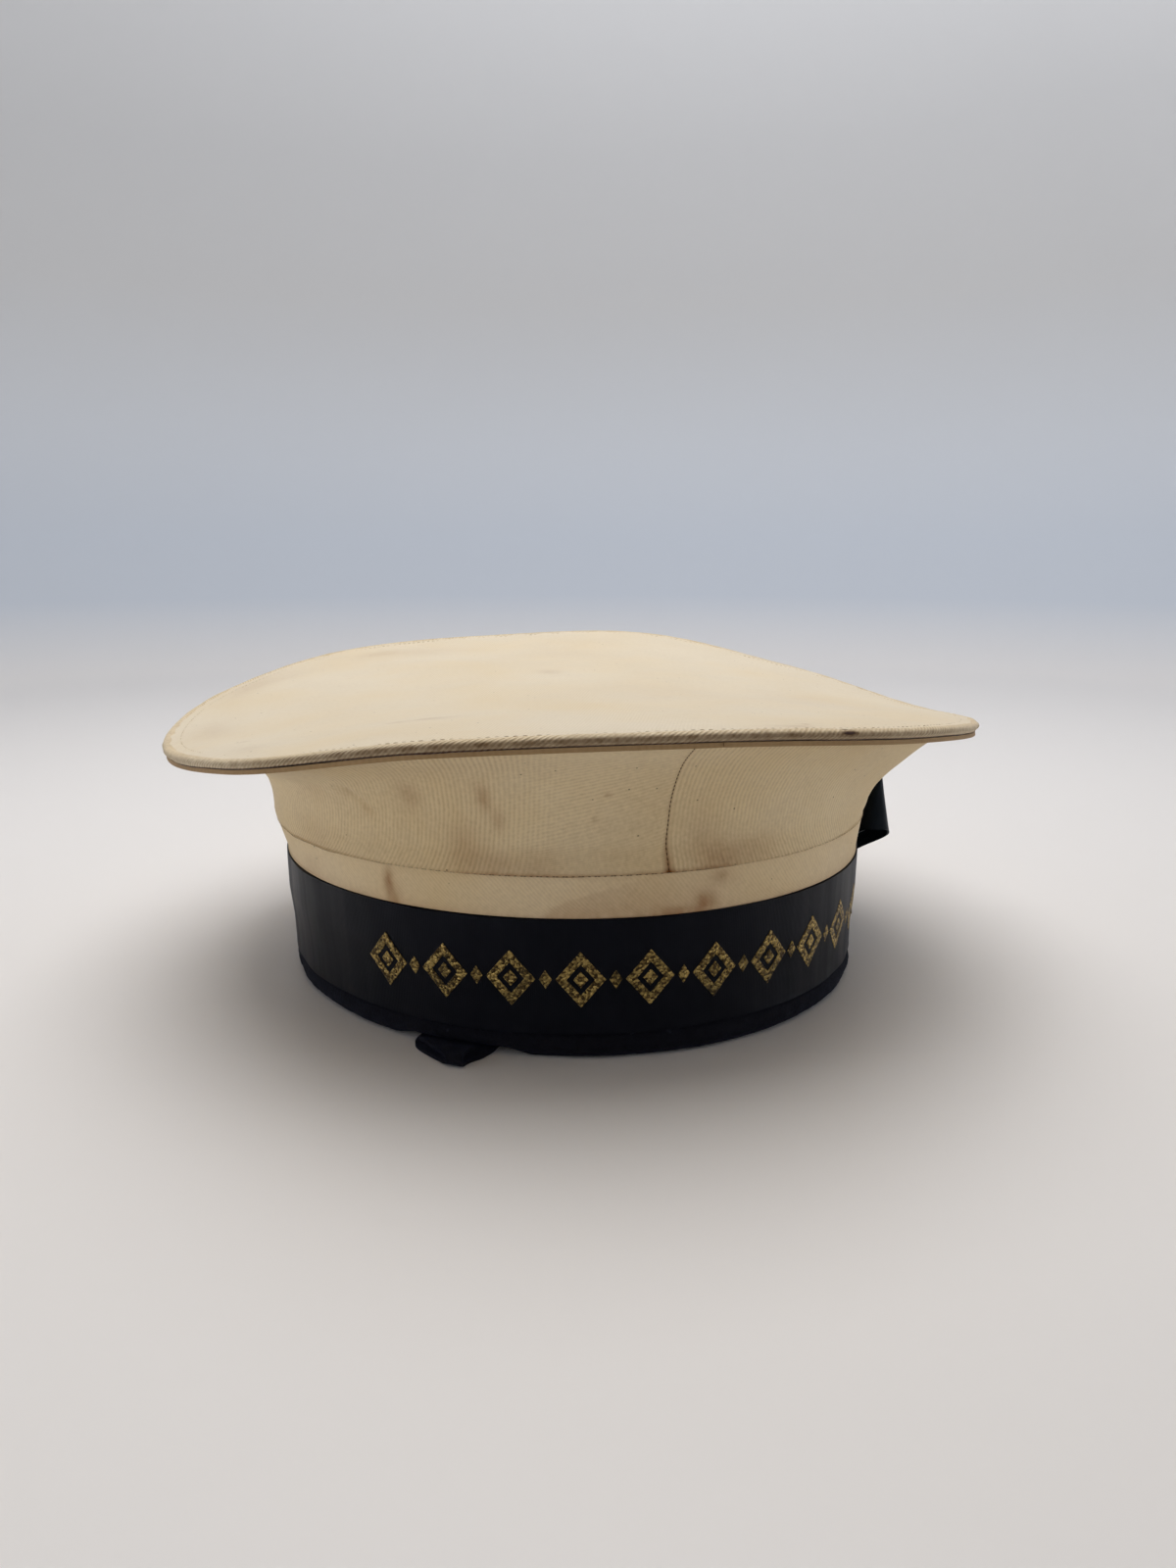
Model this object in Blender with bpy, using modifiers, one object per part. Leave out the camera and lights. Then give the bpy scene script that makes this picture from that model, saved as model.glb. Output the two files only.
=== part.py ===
"""A sailor's round cap: a white cloth crown on a navy band with a ribbon tied round it.

Metres, +Z up. The cap stands on its band and faces -Y, with the wearer's left at +X.
The origin is on the floor, under the middle of the crown.
An angle is measured from the front towards the wearer's left.
"""

import math

import bmesh
import bpy

# Clearance between two pieces of cloth that touch
GAP = 0.0003

# Band: half its length and half its width are taken over the ribbon
BAND_FRONT = 0.0994
BAND_SIDE = 0.0951
BAND_HEIGHT = 0.0390
BAND_WALL = 0.0030
BAND_WAIST = 0.0018
HEM_ROUND = 0.0008

# Ribbon round the band
RIBBON_WIDTH = 0.0320
RIBBON_THICK = 0.0010

# White strip above the ribbon; its upper edge leans in at the front and out at the sides
STRIP_HEIGHT = 0.0110
STRIP_WALL = 0.0016
STRIP_LEAN_FRONT = -0.0026
STRIP_LEAN_SIDE = 0.0029

# Crown: half its length and width over the welt, and the mean height of the welt's top
CROWN_FRONT = 0.1322
CROWN_SIDE = 0.1306
RIM_HEIGHT = 0.0872
RIM_SWING = 0.0100
QUARTER_WALL = 0.0015
WELT_HEIGHT = 0.0026
WELT_WIDTH = 0.0034
WELT_LAP = 0.0010
TOP_WALL = 0.0020
TOP_DOME = 0.0020

# Bow on the wearer's left
BOW_ANGLE = math.radians(90)
BOW_HEIGHT = 0.0280
KNOT_LENGTH = 0.0110
KNOT_HEIGHT = 0.0190
KNOT_DEPTH = 0.0085
LOOP_WIDTH = 0.0180
FRONT_LOOP_REACH = 0.0220
FRONT_LOOP_STAND = 0.0158
FRONT_LOOP_RISE = 0.0200
REAR_LOOP_REACH = 0.0240
REAR_LOOP_STAND = 0.0125
REAR_LOOP_RISE = 0.0050
TAIL_WIDTH = 0.0220
FRONT_TAIL_REACH = 0.0230
REAR_TAIL_REACH = 0.0270
TAIL_STAND = 0.0030
TAIL_DROP = 0.0080

# Folded end of the chin stay, which comes out under the band
TAB_ANGLE = math.radians(-36.5)
TAB_REACH = 0.0105
TAB_WIDTH = 0.0230
TAB_SKEW = 0.0060
TAB_HEIGHT = 0.0036
TAB_THICK = 0.0010
TAB_EASE = 0.0070

# Faces round the cap, across a strip of ribbon or tape, from the top's middle to its edge,
# and round the welt
COLUMNS = 72
COLUMN_STEP = math.tau / COLUMNS
STRIP_COLUMNS = 3
TOP_RINGS = 6
WELT_SIDES = 8
SHARP_ANGLE = math.radians(50)

# Rim of the crown every 30 degrees, from the back by the wearer's right round to the left:
# height above the mean, as a share of RIM_SWING
RIM_ROWS = (0.86, 0.53, -0.38, -1.03, -0.59, 0.43, 0.66, 0.17, -0.51, -0.94, -0.13, 0.96)

# Girth of the band: share of its height, then how far it is drawn in at the front and at
# the sides, as shares of BAND_WAIST
GIRTH_ROWS = (
    (0.00, -0.8, 0.9),
    (0.20, 0.2, 1.0),
    (0.45, 0.3, 0.7),
    (0.70, 0.0, 0.1),
    (1.00, 0.0, 0.0),
)

# White strip: share of its height, then how far it leans, as a share of the whole lean
STRIP_ROWS = (
    (0.00, 0.00),
    (0.12, 0.00),
    (0.50, 0.42),
    (1.00, 1.00),
)

# Side of the crown from the strip to the welt: share of the rise, then how far it has
# come out at the front and back, at the wearer's left and at the right, as shares of the
# overhang
QUARTER_ROWS = (
    (0.00, 0.000, 0.000, 0.000),
    (0.04, -0.011, 0.009, 0.009),
    (0.11, -0.044, 0.056, 0.018),
    (0.20, -0.065, 0.090, 0.020),
    (0.35, -0.025, 0.165, 0.030),
    (0.50, 0.028, 0.295, 0.050),
    (0.65, 0.135, 0.445, 0.090),
    (0.78, 0.265, 0.565, 0.180),
    (0.89, 0.440, 0.655, 0.400),
    (0.96, 0.600, 0.740, 0.620),
    (1.00, 1.000, 1.000, 1.000),
)

# Loop of the bow, along the ribbon from the knot and back to it: shares of the reach, of
# the stand-off at the lower and at the upper edge, of the rise and of the width
LOOP_ROWS = (
    (0.00, 0.20, 0.32, 0.00, 0.58),
    (0.25, 0.20, 0.38, 0.30, 0.72),
    (0.55, 0.22, 0.46, 0.62, 0.90),
    (0.80, 0.27, 0.50, 0.86, 1.00),
    (0.95, 0.40, 0.54, 0.98, 1.00),
    (1.00, 0.62, 0.62, 1.00, 1.00),
    (0.93, 0.88, 0.70, 0.97, 1.00),
    (0.72, 1.00, 0.75, 0.80, 0.96),
    (0.45, 0.90, 0.71, 0.55, 0.84),
    (0.20, 0.62, 0.59, 0.26, 0.68),
    (0.00, 0.40, 0.50, 0.00, 0.58),
)

# Tail of the bow from the knot to its end: shares as in the loop, with the drop for the rise
TAIL_ROWS = (
    (0.00, 0.27, 0.27, 0.00, 0.55),
    (0.20, 0.28, 0.27, 0.22, 0.70),
    (0.40, 0.32, 0.28, 0.45, 0.86),
    (0.60, 0.44, 0.30, 0.68, 0.96),
    (0.80, 0.70, 0.34, 0.86, 1.00),
    (1.00, 1.00, 0.40, 1.00, 1.00),
)

# Tab from its inner end out to the fold and back over itself: shares of the reach, of the
# height between the two layers' middles and of the width
TAB_ROWS = (
    (-1.00, 0.00, 1.00),
    (-0.55, 0.00, 1.00),
    (-0.10, 0.00, 1.00),
    (0.30, 0.00, 0.86),
    (0.65, 0.00, 0.52),
    (0.92, 0.08, 0.26),
    (1.00, 0.45, 0.20),
    (0.90, 0.85, 0.26),
    (0.62, 1.00, 0.50),
    (0.34, 0.96, 0.78),
)

MERGE = 0.00001


def clear_scene():
    for thing in list(bpy.data.objects):
        bpy.data.objects.remove(thing)


def new_collection(name):
    collection = bpy.data.collections.new(name)
    bpy.context.scene.collection.children.link(collection)
    return collection


def linear(byte):
    share = byte / 255
    if share <= 0.04045:
        return share / 12.92
    return ((share + 0.055) / 1.055) ** 2.4


def cloth(name, red, green, blue, roughness):
    """A cloth material from a colour in screen values from 0 to 255."""
    material = bpy.data.materials.new(name)
    material.use_nodes = True
    shader = material.node_tree.nodes["Principled BSDF"]
    shader.inputs["Base Color"].default_value = (linear(red), linear(green), linear(blue), 1)
    shader.inputs["Roughness"].default_value = roughness
    shader.inputs["Metallic"].default_value = 0.0
    return material


def row_at(rows, share):
    """The columns after the first one, read between rows at a value of the first one."""
    for low, high in zip(rows, rows[1:]):
        if share <= high[0]:
            break
    part = (share - low[0]) / (high[0] - low[0])
    return [a + (b - a) * part for a, b in zip(low[1:], high[1:])]


def row_along(rows, share):
    """All columns, read between rows at a share of the way from the first to the last."""
    place = share * (len(rows) - 1)
    index = min(int(place + MERGE), len(rows) - 2)
    part = place - index
    return [a + (b - a) * part for a, b in zip(rows[index], rows[index + 1])]


def on_oval(angle, front, side, height):
    return (side * math.sin(angle), -front * math.cos(angle), height)


def rim_height(angle):
    """Height of the welt's top: a smooth closed curve through RIM_ROWS."""
    count = len(RIM_ROWS)
    place = (angle + math.pi) / math.tau * count
    index = math.floor(place)
    t = place - index
    a, b, c, d = (RIM_ROWS[(index + k) % count] for k in (-1, 0, 1, 2))
    share = b + 0.5 * t * (c - a + t * (2 * a - 5 * b + 4 * c - d + t * (3 * (b - c) + d - a)))
    return RIM_HEIGHT + RIM_SWING * share


def girth(height, inset):
    """Front and side half-lengths of the band at a height, less an inset."""
    front, side = row_at(GIRTH_ROWS, height / BAND_HEIGHT)
    return BAND_FRONT - BAND_WAIST * front - inset, BAND_SIDE - BAND_WAIST * side - inset


def ribbon_levels():
    """Heights from the ribbon's lower edge to its upper one where its girth changes."""
    low = BAND_HEIGHT - RIBBON_WIDTH
    levels = [share * BAND_HEIGHT for share, front, side in GIRTH_ROWS]
    return [low] + [level for level in levels if level > low + RIBBON_THICK / 2]


def tab_lift(angle):
    """How far the band's lower edge rises to pass over the tab."""
    clear = TAB_THICK + 2 * GAP
    away = abs(angle - TAB_ANGLE) * BAND_FRONT - TAB_WIDTH / 2 - COLUMN_STEP * BAND_FRONT / 2
    return clear * min(1, max(0, 1 - away / TAB_EASE))


def grid(name, collection, material, columns, rows, place):
    """A sheet of columns by rows, each point put where place(across, along) says."""
    mesh = bpy.data.meshes.new(name)
    built = bmesh.new()
    bmesh.ops.create_grid(built, x_segments=columns, y_segments=rows, size=0.5)
    for point in built.verts:
        point.co = place(point.co.x + 0.5, point.co.y + 0.5)
    bmesh.ops.remove_doubles(built, verts=built.verts, dist=MERGE)
    built.to_mesh(mesh)
    built.free()
    mesh.materials.append(material)
    mesh.shade_smooth()
    mesh.set_sharp_from_angle(angle=SHARP_ANGLE)
    thing = bpy.data.objects.new(name, mesh)
    collection.objects.link(thing)
    return thing


def thicken(sheet, wall, side):
    """Solidify a sheet; side is -1 for a wall behind its face and 0 for one on both sides."""
    solid = sheet.modifiers.new("Wall", "SOLIDIFY")
    solid.thickness = wall
    solid.offset = side
    solid.use_even_offset = True
    return sheet


def full_turn(across):
    return (across - 0.5) * math.tau


def crown_top(collection, white):
    """The round top, stretched over the saddle of the rim and a little domed."""
    edge_front = CROWN_FRONT - WELT_WIDTH - GAP
    edge_side = CROWN_SIDE - WELT_WIDTH - GAP

    def place(across, out):
        angle = full_turn(across)
        saddle = (rim_height(angle) - RIM_HEIGHT) * out ** 2
        height = RIM_HEIGHT + saddle + TOP_DOME * (1 - out ** 2)
        return on_oval(angle, edge_front * out, edge_side * out, height)

    top = grid("crown_top", collection, white, COLUMNS, TOP_RINGS, place)
    thicken(top, TOP_WALL, 1)


def crown_welt(collection, white):
    """The rolled seam round the edge of the crown."""

    def place(across, round_seam):
        angle = full_turn(across)
        turn = round_seam * math.tau
        inset = WELT_WIDTH / 2 * (1 - math.cos(turn))
        height = rim_height(angle) - WELT_HEIGHT / 2 * (1 - math.sin(turn))
        return on_oval(angle, CROWN_FRONT - inset, CROWN_SIDE - inset, height)

    grid("crown_welt", collection, white, COLUMNS, WELT_SIDES, place)


def crown_quarter(name, start, collection, white):
    """One of the four panels of the crown's side, from a seam at its start angle."""
    base_front = BAND_FRONT - GAP + STRIP_LEAN_FRONT
    base_side = BAND_SIDE - GAP + STRIP_LEAN_SIDE
    base_height = BAND_HEIGHT + STRIP_HEIGHT + GAP
    seam = GAP / 2 / BAND_SIDE

    def place(across, along):
        rise, at_front, at_left, at_right = row_along(QUARTER_ROWS, along)
        angle = start + seam + across * (math.pi / 2 - 2 * seam)
        facing = math.cos(angle) ** 2
        at_side = at_left if math.sin(angle) > 0 else at_right
        out = at_front * facing + at_side * (1 - facing)
        front = base_front + out * (CROWN_FRONT - WELT_LAP - base_front)
        side = base_side + out * (CROWN_SIDE - WELT_LAP - base_side)
        top_height = rim_height(angle) - WELT_HEIGHT - GAP - QUARTER_WALL
        return on_oval(angle, front, side, base_height + rise * (top_height - base_height))

    panel = grid(name, collection, white, COLUMNS // 4, len(QUARTER_ROWS) - 1, place)
    thicken(panel, QUARTER_WALL, -1)


def white_strip(collection, white):
    """The strip of white cloth between the ribbon and the crown's seam."""

    def place(across, along):
        up, lean = row_along(STRIP_ROWS, along)
        front = BAND_FRONT - GAP + STRIP_LEAN_FRONT * lean
        side = BAND_SIDE - GAP + STRIP_LEAN_SIDE * lean
        height = BAND_HEIGHT + GAP + (STRIP_HEIGHT - GAP) * up
        return on_oval(full_turn(across), front, side, height)

    strip = grid("white_strip", collection, white, COLUMNS, len(STRIP_ROWS) - 1, place)
    thicken(strip, STRIP_WALL, -1)


def navy_band(collection, navy):
    """The stiff band: a wall behind the ribbon, and a thicker hem below it to stand on."""
    hem_height = BAND_HEIGHT - RIBBON_WIDTH - GAP
    behind_ribbon = RIBBON_THICK + GAP
    inside = behind_ribbon + BAND_WALL
    levels = [hem_height] + ribbon_levels()[1:]
    section = [(inside, 0), (HEM_ROUND, 0), (0, HEM_ROUND), (0, hem_height)]
    section += [(behind_ribbon, level) for level in levels]
    section += [(inside, level) for level in reversed(levels)]
    section += [(inside, 0)]

    def place(across, along):
        angle = full_turn(across)
        inset, height = row_along(section, along)
        front, side = girth(height, inset)
        lift = tab_lift(angle) * max(0, 1 - height / hem_height)
        return on_oval(angle, front, side, height + lift)

    grid("navy_band", collection, navy, COLUMNS, len(section) - 1, place)


def band_ribbon(collection, navy):
    """The ribbon round the band."""

    levels = [(level,) for level in ribbon_levels()]

    def place(across, along):
        height, = row_along(levels, along)
        front, side = girth(height, 0)
        return on_oval(full_turn(across), front, side, height)

    ribbon = grid("band_ribbon", collection, navy, COLUMNS, len(levels) - 1, place)
    thicken(ribbon, RIBBON_THICK, -1)


def bow_knot(collection, navy):
    """The knot of the bow, a soft block against the ribbon."""
    mesh = bpy.data.meshes.new("bow_knot")
    built = bmesh.new()
    bmesh.ops.create_cube(built, size=1)
    for point in built.verts:
        point.co.x *= KNOT_DEPTH
        point.co.y *= KNOT_LENGTH
        point.co.z *= KNOT_HEIGHT
    built.to_mesh(mesh)
    built.free()
    mesh.materials.append(navy)
    mesh.shade_smooth()
    knot = bpy.data.objects.new("bow_knot", mesh)
    collection.objects.link(knot)
    out = BAND_SIDE + GAP + KNOT_DEPTH / 2
    knot.location = on_oval(BOW_ANGLE, BAND_FRONT, out, BOW_HEIGHT)
    rounding = knot.modifiers.new("Rounding", "BEVEL")
    rounding.width = KNOT_DEPTH / 4
    rounding.segments = 2


def bow_piece(name, rows, reach, stand, rise, width, collection, navy):
    """A loop or tail of ribbon; a reach below zero runs forward from the knot."""
    root = math.copysign(KNOT_LENGTH / 2 + GAP, reach)

    def place(across, along):
        run, low, high, climb, spread = row_along(rows, along)
        out = stand * (low + (high - low) * across)
        height = BOW_HEIGHT + rise * climb + width * spread * (across - 0.5)
        angle = BOW_ANGLE + (root + reach * run) / BAND_FRONT
        return on_oval(angle, BAND_FRONT + out, BAND_SIDE + out, height)

    piece = grid(name, collection, navy, STRIP_COLUMNS, len(rows) - 1, place)
    thicken(piece, RIBBON_THICK, 0)


def chin_stay_tab(collection, navy):
    """The end of the chin stay, folded over where it lies out under the band."""
    across_x, across_y = math.cos(TAB_ANGLE), math.sin(TAB_ANGLE)
    root_x, root_y, floor = on_oval(TAB_ANGLE, BAND_FRONT, BAND_SIDE, 0)

    def place(across, along):
        run, up, spread = row_along(TAB_ROWS, along)
        aside = TAB_WIDTH * spread * (across - 0.5) + TAB_SKEW * max(0, run) ** 2
        out = TAB_REACH * run
        height = floor + TAB_THICK / 2 + (TAB_HEIGHT - TAB_THICK) * up
        x = root_x + out * math.sin(TAB_ANGLE) + aside * across_x
        y = root_y - out * math.cos(TAB_ANGLE) + aside * across_y
        return (x, y, height)

    tab = grid("chin_stay_tab", collection, navy, STRIP_COLUMNS, len(TAB_ROWS) - 1, place)
    thicken(tab, TAB_THICK, 0)


def build():
    clear_scene()
    cap = new_collection("sailor_cap")
    crown_top(cap, cloth("white_top_cloth", 222, 210, 189, 0.85))
    crown_welt(cap, cloth("white_welt_cloth", 186, 165, 138, 0.85))
    white_side = cloth("white_side_cloth", 200, 184, 158, 0.85)
    crown_quarter("quarter_front_left", 0, cap, white_side)
    crown_quarter("quarter_rear_left", math.pi / 2, cap, white_side)
    crown_quarter("quarter_rear_right", math.pi, cap, white_side)
    crown_quarter("quarter_front_right", -math.pi / 2, cap, white_side)
    white_strip(cap, cloth("white_strip_cloth", 200, 182, 152, 0.85))
    navy_band(cap, cloth("navy_wool", 20, 20, 28, 0.95))
    band_ribbon(cap, cloth("ribbon_silk", 26, 26, 32, 0.45))
    bow_silk = cloth("bow_silk", 24, 26, 32, 0.5)
    bow_knot(cap, bow_silk)
    bow_piece("bow_loop_front", LOOP_ROWS, -FRONT_LOOP_REACH, FRONT_LOOP_STAND,
              FRONT_LOOP_RISE, LOOP_WIDTH, cap, bow_silk)
    bow_piece("bow_loop_rear", LOOP_ROWS, REAR_LOOP_REACH, REAR_LOOP_STAND,
              REAR_LOOP_RISE, LOOP_WIDTH, cap, bow_silk)
    bow_piece("bow_tail_front", TAIL_ROWS, -FRONT_TAIL_REACH, TAIL_STAND,
              -TAIL_DROP, TAIL_WIDTH, cap, bow_silk)
    bow_piece("bow_tail_rear", TAIL_ROWS, REAR_TAIL_REACH, TAIL_STAND,
              -TAIL_DROP, TAIL_WIDTH, cap, bow_silk)
    chin_stay_tab(cap, cloth("navy_tape", 14, 16, 24, 0.95))


build()
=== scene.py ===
"""A sailor's round cap as it looks: white cotton crown, navy band, silk ribbon and bow."""

import math

import bpy
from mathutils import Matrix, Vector, noise


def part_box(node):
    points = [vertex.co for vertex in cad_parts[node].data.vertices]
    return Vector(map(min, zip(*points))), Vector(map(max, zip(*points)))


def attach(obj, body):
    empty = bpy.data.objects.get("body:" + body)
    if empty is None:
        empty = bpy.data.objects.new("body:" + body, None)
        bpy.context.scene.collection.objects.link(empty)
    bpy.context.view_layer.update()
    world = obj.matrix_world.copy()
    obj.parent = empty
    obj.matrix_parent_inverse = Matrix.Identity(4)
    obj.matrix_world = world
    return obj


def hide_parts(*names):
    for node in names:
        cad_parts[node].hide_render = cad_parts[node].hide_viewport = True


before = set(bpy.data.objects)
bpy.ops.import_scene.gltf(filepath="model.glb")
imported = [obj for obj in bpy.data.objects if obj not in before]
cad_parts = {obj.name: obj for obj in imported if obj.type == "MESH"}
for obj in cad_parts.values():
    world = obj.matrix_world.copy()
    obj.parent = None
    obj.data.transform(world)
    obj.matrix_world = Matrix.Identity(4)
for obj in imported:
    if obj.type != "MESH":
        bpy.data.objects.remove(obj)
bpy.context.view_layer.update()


# Crown top
# The top is one disc of white cotton drill, pulled tight over a hoop whose front and back
# stand higher than its sides, so that it hangs in a shallow saddle. It is turned down over
# the welt's cord at its edge, and the white has yellowed in clouds.
top_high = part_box("crown_top")[1]
TOP_OVER = 0.0016
TOP_SIDE = top_high.x + TOP_OVER
TOP_FRONT = top_high.y + TOP_OVER
TOP_WALL = 0.0018
TOP_DOME = 0.0020
TOP_RINGS = 60
TOP_DIP = 0.00042
TOP_DIP_WIDTH = 0.0012
TOP_STITCH_INSET = 0.0034
TOP_TIGHT_EDGE = 0.012
TOP_PUCKER_REACH = 0.010
TOP_EDGE_DROP = 0.00018
TOP_EDGE_WIDTH = 0.0007
RIM_HEIGHT = 0.0872
RIM_SWING = 0.0100

# Slack of the top and puckers beside its stitches: height, size and seed of each swell
TOP_SLACK = ((0.00060, 0.045, 0),)
TOP_PUCKERS = ((0.00030, 0.0050, 3),)

# Rim every 30 degrees, from the back by the wearer's right round to the left: height
# above the mean, as a share of RIM_SWING
RIM_ROWS = (0.86, 0.53, -0.38, -1.03, -0.59, 0.43, 0.66, 0.17, -0.51, -0.94, -0.13, 0.96)

# Marks on the top: degrees from the front towards the wearer's left, share of the way out,
# size along the rim and inwards in metres, and strength
TOP_MARKS = (
    (-47, 0.63, 0.0100, 0.0016, 0.25),
    (-52, 0.66, 0.0060, 0.0010, 0.20),
    (-70, 0.89, 0.0011, 0.0007, 0.72),
    (-62, 0.93, 0.0060, 0.0040, 0.11),
    (-88, 0.90, 0.0140, 0.0060, 0.13),
    (-151, 0.86, 0.0110, 0.0050, 0.16),
    (-160, 0.80, 0.0180, 0.0090, 0.09),
    (177, 0.28, 0.0045, 0.0045, 0.18),
    (-120, 0.94, 0.0250, 0.0060, 0.16),
    (168, 0.60, 0.0200, 0.0100, 0.06),
    (12, 0.95, 0.0080, 0.0014, 0.25),
    (14, 0.92, 0.0020, 0.0010, 0.36),
    (60, 0.60, 0.0300, 0.0160, 0.06),
    (30, 0.25, 0.0260, 0.0200, 0.05),
)


def smooth_between(a, b, c, d, t):
    """A value from b to c as t goes from 0 to 1, on a curve that comes from a and goes on to d."""
    return b + 0.5 * t * (c - a + t * (2 * a - 5 * b + 4 * c - d + t * (3 * (b - c) + d - a)))


def rim_height(angle):
    """Height of the crown's rim; angle runs from the front towards the wearer's left."""
    count = len(RIM_ROWS)
    place = (angle + math.pi) / math.tau * count
    index = math.floor(place)
    near = [RIM_ROWS[(index + step) % count] for step in (-1, 0, 1, 2)]
    return RIM_HEIGHT + RIM_SWING * smooth_between(*near, place - index)


def on_oval(angle, front, side, height):
    """A point at an angle round an oval with these half-lengths, front to back and across."""
    return Vector((side * math.sin(angle), -front * math.cos(angle), height))


def angle_of(x, y):
    """The angle of a place, from the front towards the wearer's left."""
    return math.atan2(x, -y)


def ripple(point, size, seed=0):
    """Smooth unevenness from -1 to 1, with swells about as long as size."""
    return noise.noise(Vector(point) / size + Vector((seed, seed * 1.7, 0)))


def ripples(point, swells):
    """Unevenness summed from swells, each with its height, its size and a seed."""
    return sum(height * ripple(point, size, seed) for height, size, seed in swells)


def edit_all():
    """Into edit mode, with every face selected."""
    bpy.ops.object.mode_set(mode="EDIT")
    bpy.ops.mesh.select_all(action="SELECT")


def object_mode():
    bpy.ops.object.mode_set(mode="OBJECT")


def named(name):
    """The primitive that was just added, under the name of its piece."""
    piece = bpy.context.object
    piece.name = name
    piece.data.name = name
    return piece


def shape(piece, rule):
    """Moves each point of a flat start to its place on the cap."""
    for point in piece.data.vertices:
        point.co = rule(*point.co)


def lay_flat(piece, rule, girth_of_cloth=math.inf):
    """The cloth's own flat coordinates, in metres, from the points of the unshaped piece. A
    ring of cloth gives its girth, so that no face spans the place where its ends meet."""
    mesh = piece.data
    while mesh.uv_layers:
        mesh.uv_layers.remove(mesh.uv_layers[0])
    flat = mesh.uv_layers.new(name="cloth").data
    for face in mesh.polygons:
        spots = [Vector(rule(*mesh.vertices[corner].co)) for corner in face.vertices]
        for loop, spot in zip(face.loop_indices, spots):
            across = spots[0].x - spot.x
            if abs(across) > girth_of_cloth / 2:
                spot.x += math.copysign(girth_of_cloth, across)
            flat[loop].uv = spot


def store_soil_and_shade(piece, rule):
    """How soiled each point is, from 0 to about 1, with painted shade added on some pieces, kept on the
    piece for its material.
    """
    soil_and_shade = piece.data.attributes.new("soil_and_shade", "FLOAT", "POINT").data
    for point in piece.data.vertices:
        soil_and_shade[point.index].value = rule(point.co)


def take_up(piece):
    """Selects one piece alone, for the next operator."""
    bpy.ops.object.select_all(action="DESELECT")
    piece.select_set(True)
    bpy.context.view_layer.objects.active = piece


def apply_modifier(piece, kind, **settings):
    take_up(piece)
    modifier = piece.modifiers.new(kind.title(), kind)
    for name, value in settings.items():
        setattr(modifier, name, value)
    bpy.ops.object.modifier_apply(modifier=modifier.name)


def give_wall(piece, wall, offset, edge_slot=0):
    """Thickness for a sheet, whose cut edges may have another material slot."""
    apply_modifier(piece, "SOLIDIFY", thickness=wall, offset=offset, use_even_offset=True,
                   material_offset_rim=edge_slot)


def smooth(piece, degrees):
    """Smooth shading, but for edges sharper than some degrees."""
    take_up(piece)
    bpy.ops.object.shade_smooth_by_angle(angle=math.radians(degrees))


def mark_soil(point, marks, front, side, height_of_share):
    """Sum of the marks at a point, each a soft oval spot."""
    angle = angle_of(point.x, point.y)
    total = 0
    for degrees, share, along, across, strength in marks:
        middle = height_of_share(math.radians(degrees), share)
        turn = math.remainder(angle - math.radians(degrees), math.tau)
        run = turn * math.hypot(middle.x, middle.y)
        rise = (point - middle).length ** 2 - run ** 2
        total += strength * math.exp(-(run / along) ** 2 - max(rise, 0) / across ** 2)
    return total


def linear(colour):
    """Linear light from a colour written as sRGB hex."""
    values = [int(colour[place:place + 2], 16) / 255 for place in (0, 2, 4)]
    return [v / 12.92 if v <= 0.04045 else ((v + 0.055) / 1.055) ** 2.4 for v in values] + [1]


def add(tree, kind, inputs=None, **settings):
    """A node of a kind, with settings; an input is a value or another node's output."""
    node = tree.nodes.new("ShaderNode" + kind)
    for name, value in settings.items():
        setattr(node, name, value)
    for socket, value in (inputs or {}).items():
        if isinstance(value, bpy.types.NodeSocket):
            tree.links.new(value, node.inputs[socket])
        else:
            node.inputs[socket].default_value = value
    return node


def mixed(tree, share, first, second):
    """One colour turning into another as share goes from 0 to 1."""
    return add(tree, "Mix", {0: share, 6: first, 7: second}, data_type="RGBA").outputs[2]


def waves_for(pitch):
    """The Wave node's scale for bands that repeat every pitch."""
    return math.pi / 10 / pitch


def new_material(name, **sockets):
    """A material, its node tree and its shader, with values set on the shader's own sockets."""
    material = bpy.data.materials.new(name)
    material.use_nodes = True
    tree = material.node_tree
    shader = tree.nodes["Principled BSDF"]
    for socket, value in sockets.items():
        shader.inputs[socket.replace("_", " ")].default_value = value
    return material, tree, shader


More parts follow.
